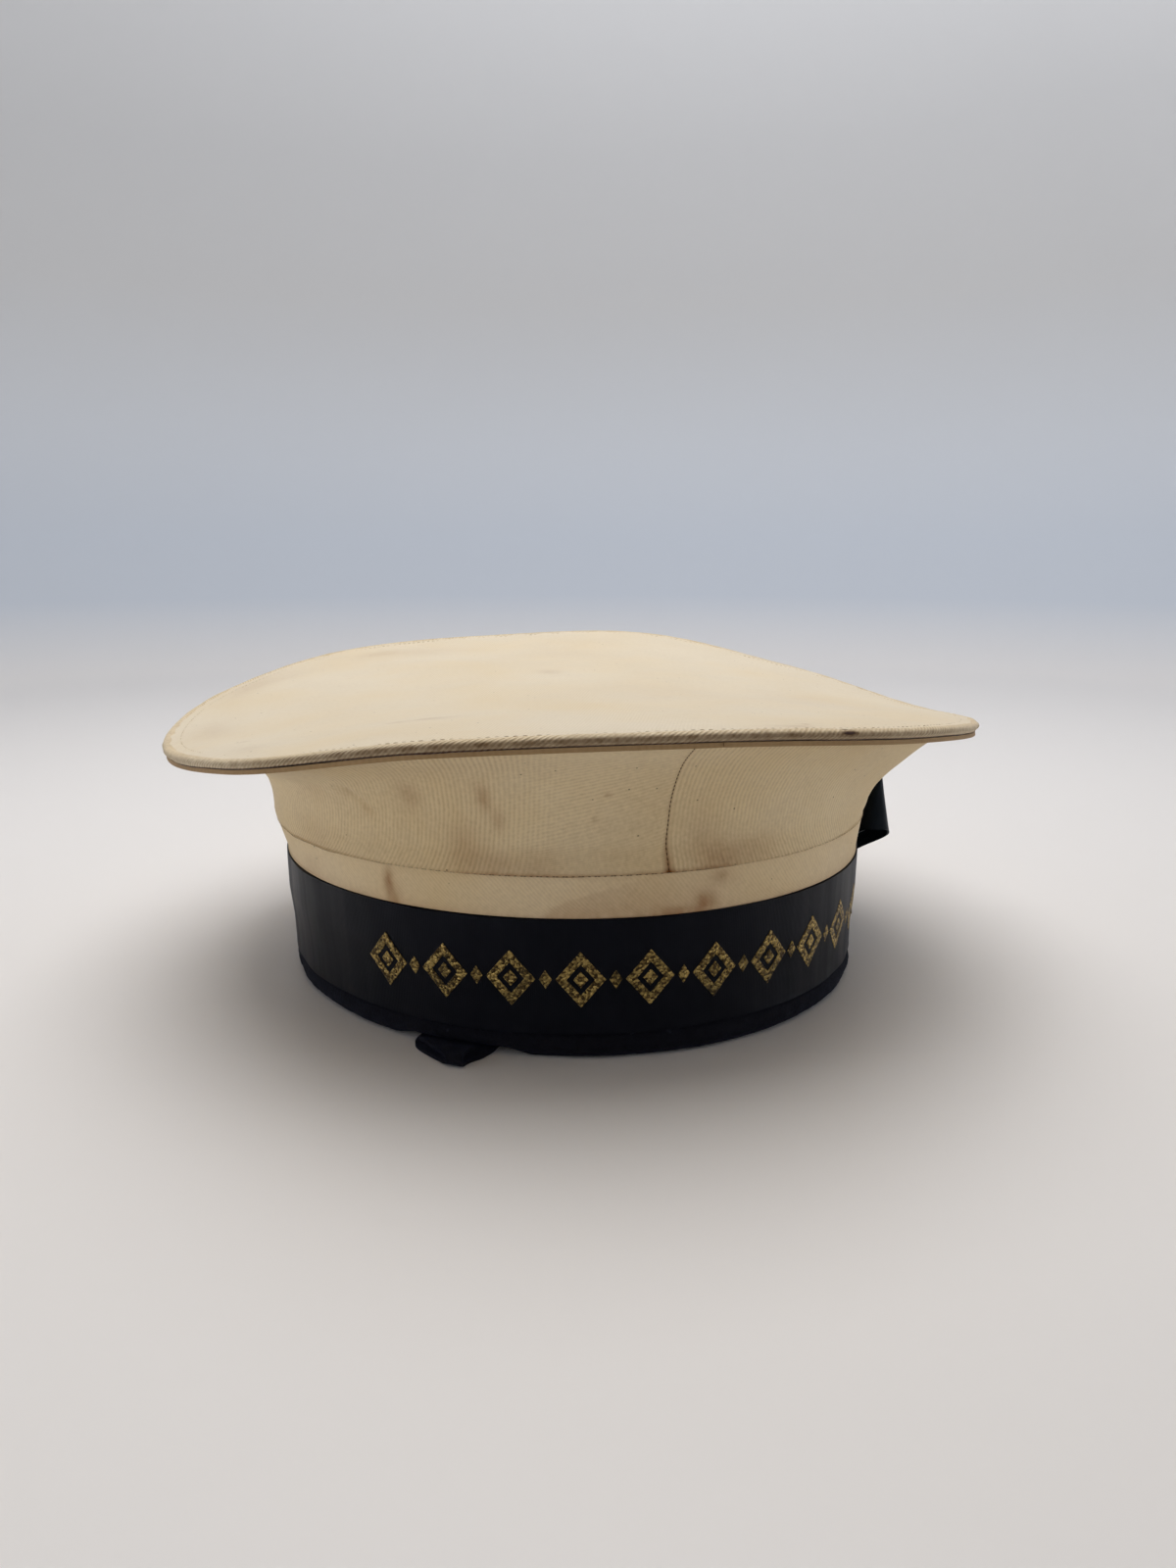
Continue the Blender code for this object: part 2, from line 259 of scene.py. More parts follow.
def cotton_drill(name, clean, yellowed, clouding, rib, turn, twill, twill_turn, ribbed_to,
                 depth, relief, grime_colour="A06E3C"):
    """Cotton drill: dull, faintly hairy, ribbed up to some way along and twilled beyond it,
    yellowed in clouds, soiled in places, near black where painted shade runs deep, and flecked
    with dirt. Slubs are about 1 mm apart, specks 4 mm and clouds some 40 mm. Rib and twill are
    spacings in metres, here up to twice the real ones, so that they show."""
    material, tree, shader = new_material(name, Roughness=0.88, Sheen_Weight=0.12, Sheen_Roughness=0.5,
                                          Specular_IOR_Level=0.25)
    flat = add(tree, "UVMap", uv_map="cloth").outputs[0]
    place = add(tree, "TexCoord").outputs["Object"]
    turned = add(tree, "Mapping", {"Vector": flat, "Rotation": (0, 0, turn)}).outputs[0]
    ribs = add(tree, "TexWave", {"Vector": turned, "Scale": waves_for(rib), "Distortion": 1.6,
                                 "Detail": 2.0, "Detail Scale": 0.6}).outputs["Fac"]
    aslant = add(tree, "Mapping", {"Vector": flat, "Rotation": (0, 0, twill_turn)}).outputs[0]
    crossing = add(tree, "TexWave", {"Vector": aslant, "Scale": waves_for(twill), "Distortion": 1.2,
                                     "Detail": 1.0, "Detail Scale": 0.8}).outputs["Fac"]
    slubs = add(tree, "TexNoise", {"Vector": place, "Scale": 850, "Detail": 4.0}).outputs["Fac"]
    fainter = add(tree, "MapRange", {0: crossing, 3: 0.22, 4: 0.78}).outputs[0]
    along = add(tree, "SeparateXYZ", {0: flat}).outputs[0]
    share = add(tree, "MapRange", {0: along, 1: ribbed_to - 0.012, 2: ribbed_to + 0.012}).outputs[0]
    threads = add(tree, "Mix", {0: share, 2: ribs, 3: fainter}).outputs[0]
    wear = add(tree, "TexNoise", {"Vector": place, "Scale": 45, "Detail": 2.0}).outputs["Fac"]
    crisp = add(tree, "MapRange", {0: wear, 1: 0.35, 2: 0.65, 3: 0.22, 4: 0.80}).outputs[0]
    weave = add(tree, "Math", {0: threads, 1: crisp, 2: slubs}, operation="MULTIPLY_ADD").outputs[0]
    clouds = add(tree, "TexNoise", {"Vector": place, "Scale": 22, "Detail": 5.0,
                                    "Roughness": 0.55}).outputs["Fac"]
    cloudy = add(tree, "MapRange", {0: clouds, 1: 0.38, 2: 0.72, 3: 0.0, 4: clouding}).outputs[0]
    shaded = add(tree, "MapRange", {0: weave, 1: 0.35, 2: 1.00, 3: depth, 4: 0.0}).outputs[0]
    cloth = mixed(tree, cloudy, linear(clean), linear(yellowed))
    cloth = mixed(tree, shaded, cloth, linear("96784F"))
    # The attribute read here holds dirt, and on the welt and the sides also painted shade: in the welt's
    # crease and tear, just under the welt and at the foot above the strip
    soil_and_shade = add(tree, "Attribute", attribute_name="soil_and_shade").outputs["Fac"]
    broken = add(tree, "TexNoise", {"Vector": place, "Scale": 420, "Detail": 4.0}).outputs["Fac"]
    patchy = add(tree, "MapRange", {0: broken, 1: 0.30, 2: 0.65, 3: 0.80, 4: 1.12}).outputs[0]
    grime_and_shade = add(tree, "Math", {0: soil_and_shade, 1: patchy}, operation="MULTIPLY", use_clamp=True).outputs[0]
    cloth = add(tree, "Mix", {0: grime_and_shade, 6: cloth, 7: linear(grime_colour)}, data_type="RGBA",
                blend_type="MULTIPLY").outputs[2]
    # Past 1.1 the cloth turns near black: painted shade in the welt's crease and tear, and heavy dirt
    # where the front seam meets the strip
    painted_shade_and_heavy_dirt = add(tree, "MapRange", {0: soil_and_shade, 1: 1.1, 2: 1.5, 3: 0.0, 4: 1.0}).outputs[0]
    cloth = mixed(tree, painted_shade_and_heavy_dirt, cloth, linear("321606"))
    cells = add(tree, "TexVoronoi", {"Vector": place, "Scale": 250})
    near = add(tree, "MapRange", {0: cells.outputs["Distance"], 1: 0.035, 2: 0.085, 3: 0.8, 4: 0.0})
    chosen = add(tree, "SeparateColor", {0: cells.outputs["Color"]}).outputs[0]
    rare = add(tree, "Math", {0: chosen, 1: 0.74}, operation="GREATER_THAN").outputs[0]
    specks = add(tree, "Math", {0: near.outputs[0], 1: rare}, operation="MULTIPLY").outputs[0]
    cloth = mixed(tree, specks, cloth, linear("3A2616"))
    tree.links.new(cloth, shader.inputs["Base Color"])
    bump = add(tree, "Bump", {"Height": weave, "Strength": 0.7, "Distance": relief})
    tree.links.new(bump.outputs[0], shader.inputs["Normal"])
    return material


def top_place(angle, share):
    """A point of the top's upper face, a share of the way from the middle to the rim."""
    saddle = (rim_height(angle) - RIM_HEIGHT) * share ** 2
    height = RIM_HEIGHT + saddle + TOP_DOME * (1 - share ** 2)
    return on_oval(angle, TOP_FRONT * share, TOP_SIDE * share, height)


def top_rule(x, y, z):
    angle, share = angle_of(x, y), math.hypot(x, y)
    point = top_place(angle, share)
    inset = (1 - share) * TOP_FRONT
    dip = TOP_DIP * math.exp(-((inset - TOP_STITCH_INSET) / TOP_DIP_WIDTH) ** 2)
    near_edge = math.exp(-inset / TOP_PUCKER_REACH)
    point.z += ripples(point, TOP_SLACK) * min(1, inset / TOP_TIGHT_EDGE) - dip
    point.z += near_edge * ripples((point.x, point.y, 0), TOP_PUCKERS)
    point.z -= TOP_EDGE_DROP * math.exp(-(inset / TOP_EDGE_WIDTH) ** 2)
    return point


bpy.ops.object.select_all(action="DESELECT")
bpy.ops.mesh.primitive_circle_add(vertices=360, radius=1, fill_type="NGON")
crown_top = named("top_cloth")
edit_all()
for ring in range(TOP_RINGS - 1):
    bpy.ops.mesh.inset(thickness=1 / TOP_RINGS)
bpy.ops.mesh.poke()
object_mode()
lay_flat(crown_top, lambda x, y, z: (x * TOP_SIDE, y * TOP_FRONT))
shape(crown_top, top_rule)
store_soil_and_shade(crown_top, lambda point: mark_soil(point, TOP_MARKS, TOP_FRONT, TOP_SIDE, top_place))
give_wall(crown_top, TOP_WALL, -1)
smooth(crown_top, 60)
crown_top.data.materials.append(cotton_drill("yellowed_cotton_top", "DACEB8", "D6C29E", clouding=0.60,
                                             rib=0.0009, turn=0.4, twill=0.0007, twill_turn=1.6,
                                             ribbed_to=0.0, depth=0.14, relief=0.00005))
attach(crown_top, "root")
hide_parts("crown_top")


# Crown welt
# A cord covered with a bias strip of the same drill runs round the crown's edge and is
# sewn in between the top and the sides. Its slanting twill ribs catch the light, and it
# has a small tear near the front. WELT_RIB is nearly twice the real rib, so that it shows.
welt_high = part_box("crown_welt")[1]
CROWN_SIDE = welt_high.x
CROWN_FRONT = welt_high.y
WELT_WIDTH = 0.0038
WELT_HEIGHT = 0.0029
WELT_RIB = 0.00090
TEAR_ANGLE = math.radians(15.3)
TEAR_SIZE = 0.0014
TEAR_DEPTH = 0.30
HANDLED_ANGLE = math.radians(-12)
HANDLED_SPREAD = math.radians(42)
# Painted shade, near black, in the crease under the welt and in its tear
CREASE_SHADE = 1.3
TEAR_SHADE = 1.6
TEAR_SHADE_SPREAD = 0.0012
WELT_RADIUS = (CROWN_FRONT + CROWN_SIDE) / 2

# Parts of the welt by the share of the way down it: its handled face from where it starts
# to where it is full, the paler lip and the painted shade of the tear by middle and width,
# and the painted shade of the crease as the face
FACE_DOWN = (0.12, 0.32)
LIP_DOWN = (0.74, 0.10)
TEAR_DOWN = (0.33, 0.12)
CREASE_DOWN = (0.86, 0.91)

# Unevenness of the welt: height, size and seed of each swell; the fullness is a share of
# its size, the sag is in metres
WELT_FULLNESS = ((0.10, 0.012, 5), (0.05, 0.004, 7))
WELT_SAG = ((0.00045, 0.030, 9), (0.00028, 0.008, 15))


def welt_parts(x, y, z):
    """Angle round the crown, and place in the welt's section, out and up, each -1 to 1."""
    return angle_of(x, y), (math.hypot(x, y) - 1) / 0.1, z / 0.1


def welt_rule(x, y, z):
    angle, out, up = welt_parts(x, y, z)
    middle_front = CROWN_FRONT - WELT_WIDTH / 2
    middle_side = CROWN_SIDE - WELT_WIDTH / 2
    on_rim = on_oval(angle, CROWN_FRONT, CROWN_SIDE, 0)
    fullness = 1 + ripples(on_rim, WELT_FULLNESS)
    sag = ripples(on_rim, WELT_SAG) if up < 0 else 0
    tear = math.exp(-(math.remainder(angle - TEAR_ANGLE, math.tau) * WELT_RADIUS / TEAR_SIZE) ** 2)
    swell = fullness - TEAR_DEPTH * tear * max(0, up)
    offset = WELT_WIDTH / 2 * out * swell
    height = rim_height(angle) - WELT_HEIGHT / 2 + WELT_HEIGHT / 2 * up * swell + sag
    return on_oval(angle, middle_front + offset, middle_side + offset, height)


def welt_flat(x, y, z):
    angle, out, up = welt_parts(x, y, z)
    return (angle * WELT_RADIUS, math.atan2(up, out) * WELT_HEIGHT / 2)


def welt_soil(point):
    """Brown from handling on its outer face, most at the front, paler at its lower lip, and
    near black with painted shade in the crease under it and in the tear."""
    angle = angle_of(point.x, point.y)
    below = (rim_height(angle) - point.z) / WELT_HEIGHT
    face, crease = (min(1, max(0, (below - start) / (full - start)))
                    for start, full in (FACE_DOWN, CREASE_DOWN))
    lip, in_tear = (math.exp(-((below - middle) / width) ** 2) for middle, width in (LIP_DOWN, TEAR_DOWN))
    from_tear = math.remainder(angle - TEAR_ANGLE, math.tau) * WELT_RADIUS
    tear = in_tear * math.exp(-(from_tear / TEAR_SHADE_SPREAD) ** 2)
    handled = 0.18 + 0.62 * math.exp(-((angle - HANDLED_ANGLE) / HANDLED_SPREAD) ** 4)
    # The crease and the tear get painted shade, near black
    return (0.08 + 0.08 * ripple(point, 0.02, 11) + handled * face - 0.20 * lip + CREASE_SHADE * crease
            + TEAR_SHADE * tear)


bpy.ops.object.select_all(action="DESELECT")
bpy.ops.mesh.primitive_torus_add(major_segments=900, minor_segments=36, major_radius=1,
                                 minor_radius=0.1)
crown_welt = named("welt_roll")
lay_flat(crown_welt, welt_flat, math.tau * WELT_RADIUS)
shape(crown_welt, welt_rule)
store_soil_and_shade(crown_welt, welt_soil)
smooth(crown_welt, 80)
crown_welt.data.materials.append(cotton_drill("bias_twill_welt", "E6D6B8", "D8C29A", clouding=0.75,
                                              rib=WELT_RIB, turn=0.95, twill=0.0011, twill_turn=-0.7,
                                              ribbed_to=1.0, depth=0.60, relief=0.00034,
                                              grime_colour="8C7A66"))
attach(crown_welt, "root")
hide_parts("crown_welt")


# Top stitching
# A lockstitch in cream cotton thread holds the top cloth down just inside the welt. Each
# stitch lies in its own small hollow, a little over a millimetre long.
STITCH_LENGTH = 0.0014
STITCH_PITCH = 0.0023
STITCH_THICK = 0.00042
STITCH_SINK = 0.75
DIRTY_FRONT = math.radians(55)


def cotton_thread(name, colour, soiled):
    """Spun cotton thread: dull, with a fine twist across it, and soiled in places."""
    material, tree, shader = new_material(name, Roughness=0.8, Sheen_Weight=0.1)
    place = add(tree, "TexCoord").outputs["Object"]
    strands = add(tree, "TexNoise", {"Vector": place, "Scale": 2400, "Detail": 2.0}).outputs["Fac"]
    soil_and_shade = add(tree, "Attribute", attribute_name="soil_and_shade").outputs["Fac"]
    cloth = mixed(tree, soil_and_shade, linear(colour), linear(soiled))
    shaded = add(tree, "Math", {0: strands, 1: 0.5}, operation="MULTIPLY").outputs[0]
    cloth = mixed(tree, shaded, cloth, linear("6E5436"))
    tree.links.new(cloth, shader.inputs["Base Color"])
    bump = add(tree, "Bump", {"Height": strands, "Strength": 0.5, "Distance": 0.0001})
    tree.links.new(bump.outputs[0], shader.inputs["Normal"])
    return material


def turn_faces(inside=False):
    """Makes every face of the newest piece point outwards, or inwards."""
    edit_all()
    bpy.ops.mesh.normals_make_consistent(inside=inside)
    object_mode()


def row_of_stitches(name, stations, length, thick, material, soil_and_shade):
    """One stitch, copied to each station: a point, the way it runs and the way out."""
    bpy.ops.object.select_all(action="DESELECT")
    bpy.ops.mesh.primitive_uv_sphere_add(segments=8, ring_count=6, radius=0.5)
    piece = named(name)
    stitch = [point.co.copy() for point in piece.data.vertices]
    faces = [tuple(face.vertices) for face in piece.data.polygons]
    points = []
    rows = []
    for middle, run, out in stations:
        aside = out.cross(run).normalized()
        start = len(points)
        for point in stitch:
            points.append(middle + run * point.z * length + aside * point.x * thick
                          + out * point.y * thick)
        rows.extend(tuple(start + corner for corner in face) for face in faces)
    piece.data.clear_geometry()
    piece.data.from_pydata(points, [], rows)
    turn_faces()
    store_soil_and_shade(piece, soil_and_shade)
    piece.data.materials.append(material)
    smooth(piece, 80)
    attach(piece, "root")


def stations_along(path, start, end, pitch):
    """Places every pitch along a path, each with the way it runs and the way out."""
    steps = 720
    points = [path(start + (end - start) * step / steps)[0] for step in range(steps + 1)]
    total = sum((b - a).length for a, b in zip(points, points[1:]))
    count = max(1, round(total / pitch))
    stations = []
    run = 0
    wanted = 0.5
    for step, (a, b) in enumerate(zip(points, points[1:])):
        run += (b - a).length
        if run >= wanted * total / count and len(stations) < count:
            out = path(start + (end - start) * (step + 0.5) / steps)[1]
            stations.append(((a + b) / 2, (b - a).normalized(), out))
            wanted += 1
    return stations


def top_dirt(point):
    """The top's stitches are dirty along the front and nearly clean elsewhere."""
    return 0.2 + 0.8 * math.exp(-(angle_of(point.x, point.y) / DIRTY_FRONT) ** 4)


def top_stitch_path(angle):
    share = 1 - TOP_STITCH_INSET / TOP_FRONT
    point = top_place(angle, share)
    point.z -= TOP_DIP * STITCH_SINK
    return point, Vector((0, 0, 1))


cream_thread = cotton_thread("cream_cotton_thread", "DCCCAA", "7A5C38")
row_of_stitches("top_stitching", stations_along(top_stitch_path, 0, math.tau, STITCH_PITCH), STITCH_LENGTH,
                STITCH_THICK, cream_thread,
                lambda point: (0.75 + ripple(point, 0.012, 71)) * top_dirt(point))


# Side quarters
# Four panels of drill make the crown's side. Each is cut flat as part of a ring and curves
# in to the strip below and out to the welt above. It is ribbed upright over most of its
# length and twilled towards one end, in lines a little coarser than the real ones.
BAND_FRONT = 0.0994
BAND_SIDE = 0.0951
BAND_HEIGHT = 0.0390
GAP = 0.0003
STRIP_HEIGHT = 0.0110
STRIP_LEAN_FRONT = -0.0026
STRIP_LEAN_SIDE = 0.0029
QUARTER_WALL = 0.0012
QUARTER_TOP_DROP = WELT_HEIGHT + QUARTER_WALL
QUARTER_LAP = 0.0010
QUARTER_SLANT = 0.056
QUARTER_SWEEP = math.radians(24)
OTHER_LEAN = math.radians(-23)
RIBBED_TO = 0.112
SIDE_RIB = 0.00140
SIDE_TWILL = 0.00100
SEAM_GAP = 0.0001
SEAM_DIP = 0.00040
SEAM_DIP_WIDTH = 0.0011
CREASE_DEPTH = 0.00070
CREASE_WIDTH = 0.0012
CREASE_LENGTH = 0.0060
CREASE_ANGLE = math.radians(-50.5)
CREASE_SHARE = 0.54
CREASE_FALL = 0.9
CREASE_REACH = 0.102
CREASE_PANEL = 0.040
SEAM_DIRT_HEIGHT = 0.012
SEAM_DIRT_WIDTH = 0.0006
FOOT_DIRT_AND_SHADE_HEIGHT = 0.0008
FOOT_DIRT_ANGLE = math.radians(-15)
FOOT_DIRT_SPREAD = math.radians(24)
UNDER_WELT_SHADE = 0.004

# Slack of the sides and gathers above the strip: height, size and seed of each swell
SIDE_SLACK = ((0.00110, 0.048, 13), (0.00040, 0.021, 17))
SIDE_GATHERS = ((0.00022, 0.0075, 19),)

# Side of the crown from the strip to the welt: share of the rise, then how far it has
# come out at the front and back, at the wearer's left and at the right, as shares of the
# overhang
QUARTER_ROWS = (
    (0.00, 0.000, 0.000, 0.000),
    (0.04, -0.011, 0.009, 0.009),
    (0.11, -0.044, 0.056, 0.018),
    (0.20, -0.065, 0.090, 0.020),
    (0.35, -0.025, 0.165, 0.030),
    (0.50, 0.028, 0.295, 0.050),
    (0.65, 0.135, 0.445, 0.090),
    (0.78, 0.265, 0.565, 0.180),
    (0.89, 0.440, 0.655, 0.400),
    (0.96, 0.600, 0.740, 0.620),
    (1.00, 1.000, 1.000, 1.000),
)

# Marks on the sides: degrees, share of the way up, size along and up, and strength
SIDE_MARKS = (
    (-29, 0.55, 0.0020, 0.0045, 0.46),
    (-27, 0.43, 0.0020, 0.0030, 0.30),
    (-41, 0.57, 0.0030, 0.0045, 0.30),
    (-33, 0.30, 0.0050, 0.0070, 0.26),
    (-27, 0.14, 0.0080, 0.0040, 0.28),
    (-20, 0.16, 0.0060, 0.0040, 0.20),
    (-52, 0.60, 0.0040, 0.0010, 0.20),
    (-49, 0.48, 0.0045, 0.0010, 0.18),
    (-10, 0.54, 0.0012, 0.0008, 0.50),
    (-12, 0.42, 0.0010, 0.0008, 0.30),
    (9, 0.12, 0.0060, 0.0050, 0.34),
    (15, 0.16, 0.0090, 0.0040, 0.24),
    (6, 0.30, 0.0050, 0.0100, 0.16),
    (1.6, 0.97, 0.0012, 0.0010, 0.60),
    (-64, 0.20, 0.0120, 0.0060, 0.14),
    (-62, 0.62, 0.0100, 0.0050, 0.12),
    (-30, 0.75, 0.0300, 0.0050, 0.08),
    (115, 0.35, 0.0100, 0.0060, 0.24),
    (205, 0.30, 0.0120, 0.0050, 0.24),
)


def smooth_row(rows, share):
    """The columns of a table, on a smooth curve through its rows."""
    place = min(max(share, 0), 1) * (len(rows) - 1)
    index = min(int(place), len(rows) - 2)
    near = [rows[min(max(index + step, 0), len(rows) - 1)] for step in (-1, 0, 1, 2)]
    return [smooth_between(*column, place - index) for column in zip(*near)]


def side_place(angle, share):
    """A point of the side's outer face, a share of the way up from strip to welt."""
    rise, at_front, at_left, at_right = smooth_row(QUARTER_ROWS, share)
    base_front = BAND_FRONT - GAP + STRIP_LEAN_FRONT
    base_side = BAND_SIDE - GAP + STRIP_LEAN_SIDE
    base_height = BAND_HEIGHT + STRIP_HEIGHT
    facing = math.cos(angle) ** 2
    at_side = at_left if math.sin(angle) > 0 else at_right
    out = at_front * facing + at_side * (1 - facing)
    front = base_front + out * (CROWN_FRONT - QUARTER_LAP - base_front)
    side = base_side + out * (CROWN_SIDE - QUARTER_LAP - base_side)
    top_height = rim_height(angle) - QUARTER_TOP_DROP
    return on_oval(angle, front, side, base_height + rise * (top_height - base_height))


def front_dirt(angle):
    """How dark the foot of the sides is with dirt and painted shade: worst a little to the wearer's right
    of the front.
    """
    return math.exp(-((angle - FOOT_DIRT_ANGLE) / FOOT_DIRT_SPREAD) ** 4)


def outwards(point):
    """The level direction from the cap's middle out to a point."""
    return Vector((point.x, point.y, 0)).normalized()


def dented(point, angle, share, to_seam):
    """Gathers above the strip, slack swells, one sharp crease, and the pull of the seams."""
    ends = min(1, share / 0.06) * min(1, (1 - share) / 0.06)
    depth = ripples(point, SIDE_SLACK)
    gathers = math.exp(-share / 0.10) * ripples(point, SIDE_GATHERS)
    seam = SEAM_DIP * math.exp(-(to_seam / SEAM_DIP_WIDTH) ** 2)
    along = (angle - CREASE_ANGLE) * CREASE_REACH
    up = (share - CREASE_SHARE) * CREASE_PANEL
    crease = CREASE_DEPTH * math.exp(-((up + CREASE_FALL * along) / CREASE_WIDTH) ** 2
                                     - (along / CREASE_LENGTH) ** 2)
    return point - outwards(point) * (ends * (depth + crease) + gathers + seam)


def flat_sheet(name, columns, rows):
    """A flat grid from 0 to 1 both ways, ready to be shaped into a sheet of cloth."""
    bpy.ops.object.select_all(action="DESELECT")
    bpy.ops.mesh.primitive_grid_add(x_subdivisions=columns, y_subdivisions=rows, size=1,
                                    location=(0.5, 0.5, 0))
    bpy.ops.object.transform_apply(location=True)
    return named(name)


def quarter(name, node, start, lean):
    """A panel, from its start angle; lean is how far from upright its ribs are there."""
    def angle_at(x):
        return start + SEAM_GAP / 2 / BAND_SIDE + x * (math.pi / 2 - SEAM_GAP / BAND_SIDE)

    def rule(x, y, z):
        angle = angle_at(x)
        point = side_place(angle, y)
        to_seam = min(x, 1 - x) * math.pi / 2 * math.hypot(point.x, point.y)
        return dented(point, angle, y, to_seam)

    def flat(x, y, z):
        foot = BAND_FRONT * (math.pi / 2) / QUARTER_SWEEP
        reach = foot + y * QUARTER_SLANT
        turn = lean + x * QUARTER_SWEEP
        return (reach * math.sin(turn) - foot * math.sin(lean), reach * math.cos(turn))

    def soil_and_shade(point):
        angle = angle_of(point.x, point.y)
        turn = math.remainder(angle, math.pi / 2) * math.hypot(point.x, point.y)
        above = point.z - BAND_HEIGHT - STRIP_HEIGHT
        low = max(0, 1 - above / SEAM_DIRT_HEIGHT)
        seam = (0.10 + 0.80 * low) * math.exp(-(turn / (SEAM_DIRT_WIDTH * (1 + low))) ** 2)
        # The foot of the sides darkens above the strip: dirt, worst at the front, and painted shade of a
        # fold there
        foot = math.exp(-(above / FOOT_DIRT_AND_SHADE_HEIGHT) ** 2)
        foot_dirt_and_shade = foot * (0.08 + 0.40 * front_dirt(angle))
        # Just under the welt the sides darken: painted shade cast by the welt
        shade_under_welt = 0.20 * max(0, 1 - (rim_height(angle) - QUARTER_TOP_DROP - point.z) / UNDER_WELT_SHADE)
        return mark_soil(point, SIDE_MARKS, BAND_FRONT, BAND_SIDE, side_place) + seam + foot_dirt_and_shade + shade_under_welt

    piece = flat_sheet(name, 150, 72)
    lay_flat(piece, flat)
    shape(piece, rule)
    store_soil_and_shade(piece, soil_and_shade)
    piece.data.materials.append(side_cotton)
    piece.data.materials.append(shaded_raw_edge)
    give_wall(piece, QUARTER_WALL, -1, edge_slot=1)
    smooth(piece, 50)
    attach(piece, "root")
    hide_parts(node)


# The sides' drill is given a lighter colour than the top's, though it is the same cloth: painted fill
# light on the sides
side_cotton = cotton_drill("ribbed_cotton_side", "EAD7B2", "DEC596", clouding=0.75, rib=SIDE_RIB, turn=0.0,
                           twill=SIDE_TWILL, twill_turn=1.32, ribbed_to=RIBBED_TO, depth=0.32,
                           relief=0.00018)
# The panels' own edges, which show only in the seams, are given a darker colour: painted shade in the
# seams, most of all under the welt
shaded_raw_edge = cotton_drill("lapped_cotton_edge", "B79A70", "A3865C", clouding=0.75, rib=0.0011, turn=0.7,
                        twill=0.0011, twill_turn=-0.7, ribbed_to=1.0, depth=0.25, relief=0.00005)
quarter("side_front_left", "quarter_front_left", 0, 0)
quarter("side_rear_left", "quarter_rear_left", math.pi / 2, OTHER_LEAN)
quarter("side_rear_right", "quarter_rear_right", math.pi, 0)
quarter("side_front_right", "quarter_front_right", -math.pi / 2, OTHER_LEAN)


# Seam stitching
# Short stitches of cream thread show down each of the four seams and where the sides are
# sewn to the strip. They are brown with dirt at the front.
SEAM_STITCH = 0.0008
SEAM_PITCH = 0.0014
SEAM_THREAD = 0.00034
BASE_THREAD = 0.00026
SEAM_STAND = 0.00010
BASE_STAND = 0.00005
BASE_SHARE = 0.012


def seam_path(angle):
    def path(share):
        point = dented(side_place(angle, share), angle, share, 0)
        out = outwards(point)
        return point + out * SEAM_STAND, out
    return path


def base_path(angle):
    point = side_place(angle, BASE_SHARE)
    out = outwards(point)
    return point + out * BASE_STAND, out


brown_thread = cotton_thread("soiled_cotton_thread", "E0CCA4", "4A321A")
seam_stations = []
for quarter_turn in range(4):
    seam_stations += stations_along(seam_path(quarter_turn * math.pi / 2), 0.02, 0.90, SEAM_PITCH)
row_of_stitches("seam_stitching", seam_stations, SEAM_STITCH, SEAM_THREAD, brown_thread,
                lambda point: 0.35 + 0.65 * front_dirt(angle_of(point.x, point.y) - 0.26))
row_of_stitches("base_stitching", stations_along(base_path, 0, math.tau, SEAM_PITCH), SEAM_STITCH,
                BASE_THREAD, brown_thread,
                lambda point: 0.12 + 0.80 * front_dirt(angle_of(point.x, point.y)))


# White strip
# A strip of the same drill stands between the sides and the ribbon. It is sewn to the
# sides above, and dirt has rubbed off the ribbon on to its lower edge.
STRIP_WALL = 0.0016
STRIP_SLACK = ((0.00035, 0.030, 23), (0.00010, 0.006, 29))
STRIP_TURN_IN = 0.0002
STRIP_TURN_WIDTH = 0.0007
RUBBED_HEIGHT = 0.0016
STITCHED_HEIGHT = 0.0006

# Share of the strip's height, then how far it leans, as a share of the whole lean
STRIP_ROWS = (
    (0.00, 0.00),
    (0.12, 0.00),
    (0.50, 0.42),
    (1.00, 1.00),
)

# Stains on the strip: degrees, share of the way up, size along and up, and strength
STRIP_MARKS = (
    (-47, 0.70, 0.0016, 0.0040, 0.75),
    (-46, 0.35, 0.0024, 0.0040, 0.40),
    (6, 0.50, 0.0036, 0.0026, 0.55),
    (9, 0.85, 0.0030, 0.0020, 0.35),
    (2, 0.15, 0.0080, 0.0020, 0.30),
    (-5, 0.50, 0.0200, 0.0060, 0.16),
    (-70, 0.50, 0.0100, 0.0040, 0.14),
    (-20, 0.15, 0.0250, 0.0012, 0.20),
    (150, 0.40, 0.0080, 0.0030, 0.30),
)


def strip_place(angle, share):
    up, lean = smooth_row(STRIP_ROWS, share)
    front = BAND_FRONT - GAP + STRIP_LEAN_FRONT * lean
    side = BAND_SIDE - GAP + STRIP_LEAN_SIDE * lean
    return on_oval(angle, front, side, BAND_HEIGHT + GAP + (STRIP_HEIGHT - GAP) * up)


def join_ends():
    """Merges the points where the ends of the newest sheet meet."""
    edit_all()
    bpy.ops.mesh.remove_doubles(threshold=0.00001)
    object_mode()


def strip_rule(x, y, z):
    angle = x * math.tau
    point = strip_place(angle, y)
    slack = min(1, 4 * y) * ripples(point, STRIP_SLACK)
    turned_in = STRIP_TURN_IN * math.exp(-(1 - y) * STRIP_HEIGHT / STRIP_TURN_WIDTH)
    return point - outwards(point) * (slack + turned_in)


def strip_soil(point):
    low = math.exp(-(point.z - BAND_HEIGHT) / RUBBED_HEIGHT)
    high = math.exp(-(BAND_HEIGHT + STRIP_HEIGHT - point.z) / STITCHED_HEIGHT)
    return 0.36 * low + 0.05 * high + mark_soil(point, STRIP_MARKS, BAND_FRONT, BAND_SIDE, strip_place)


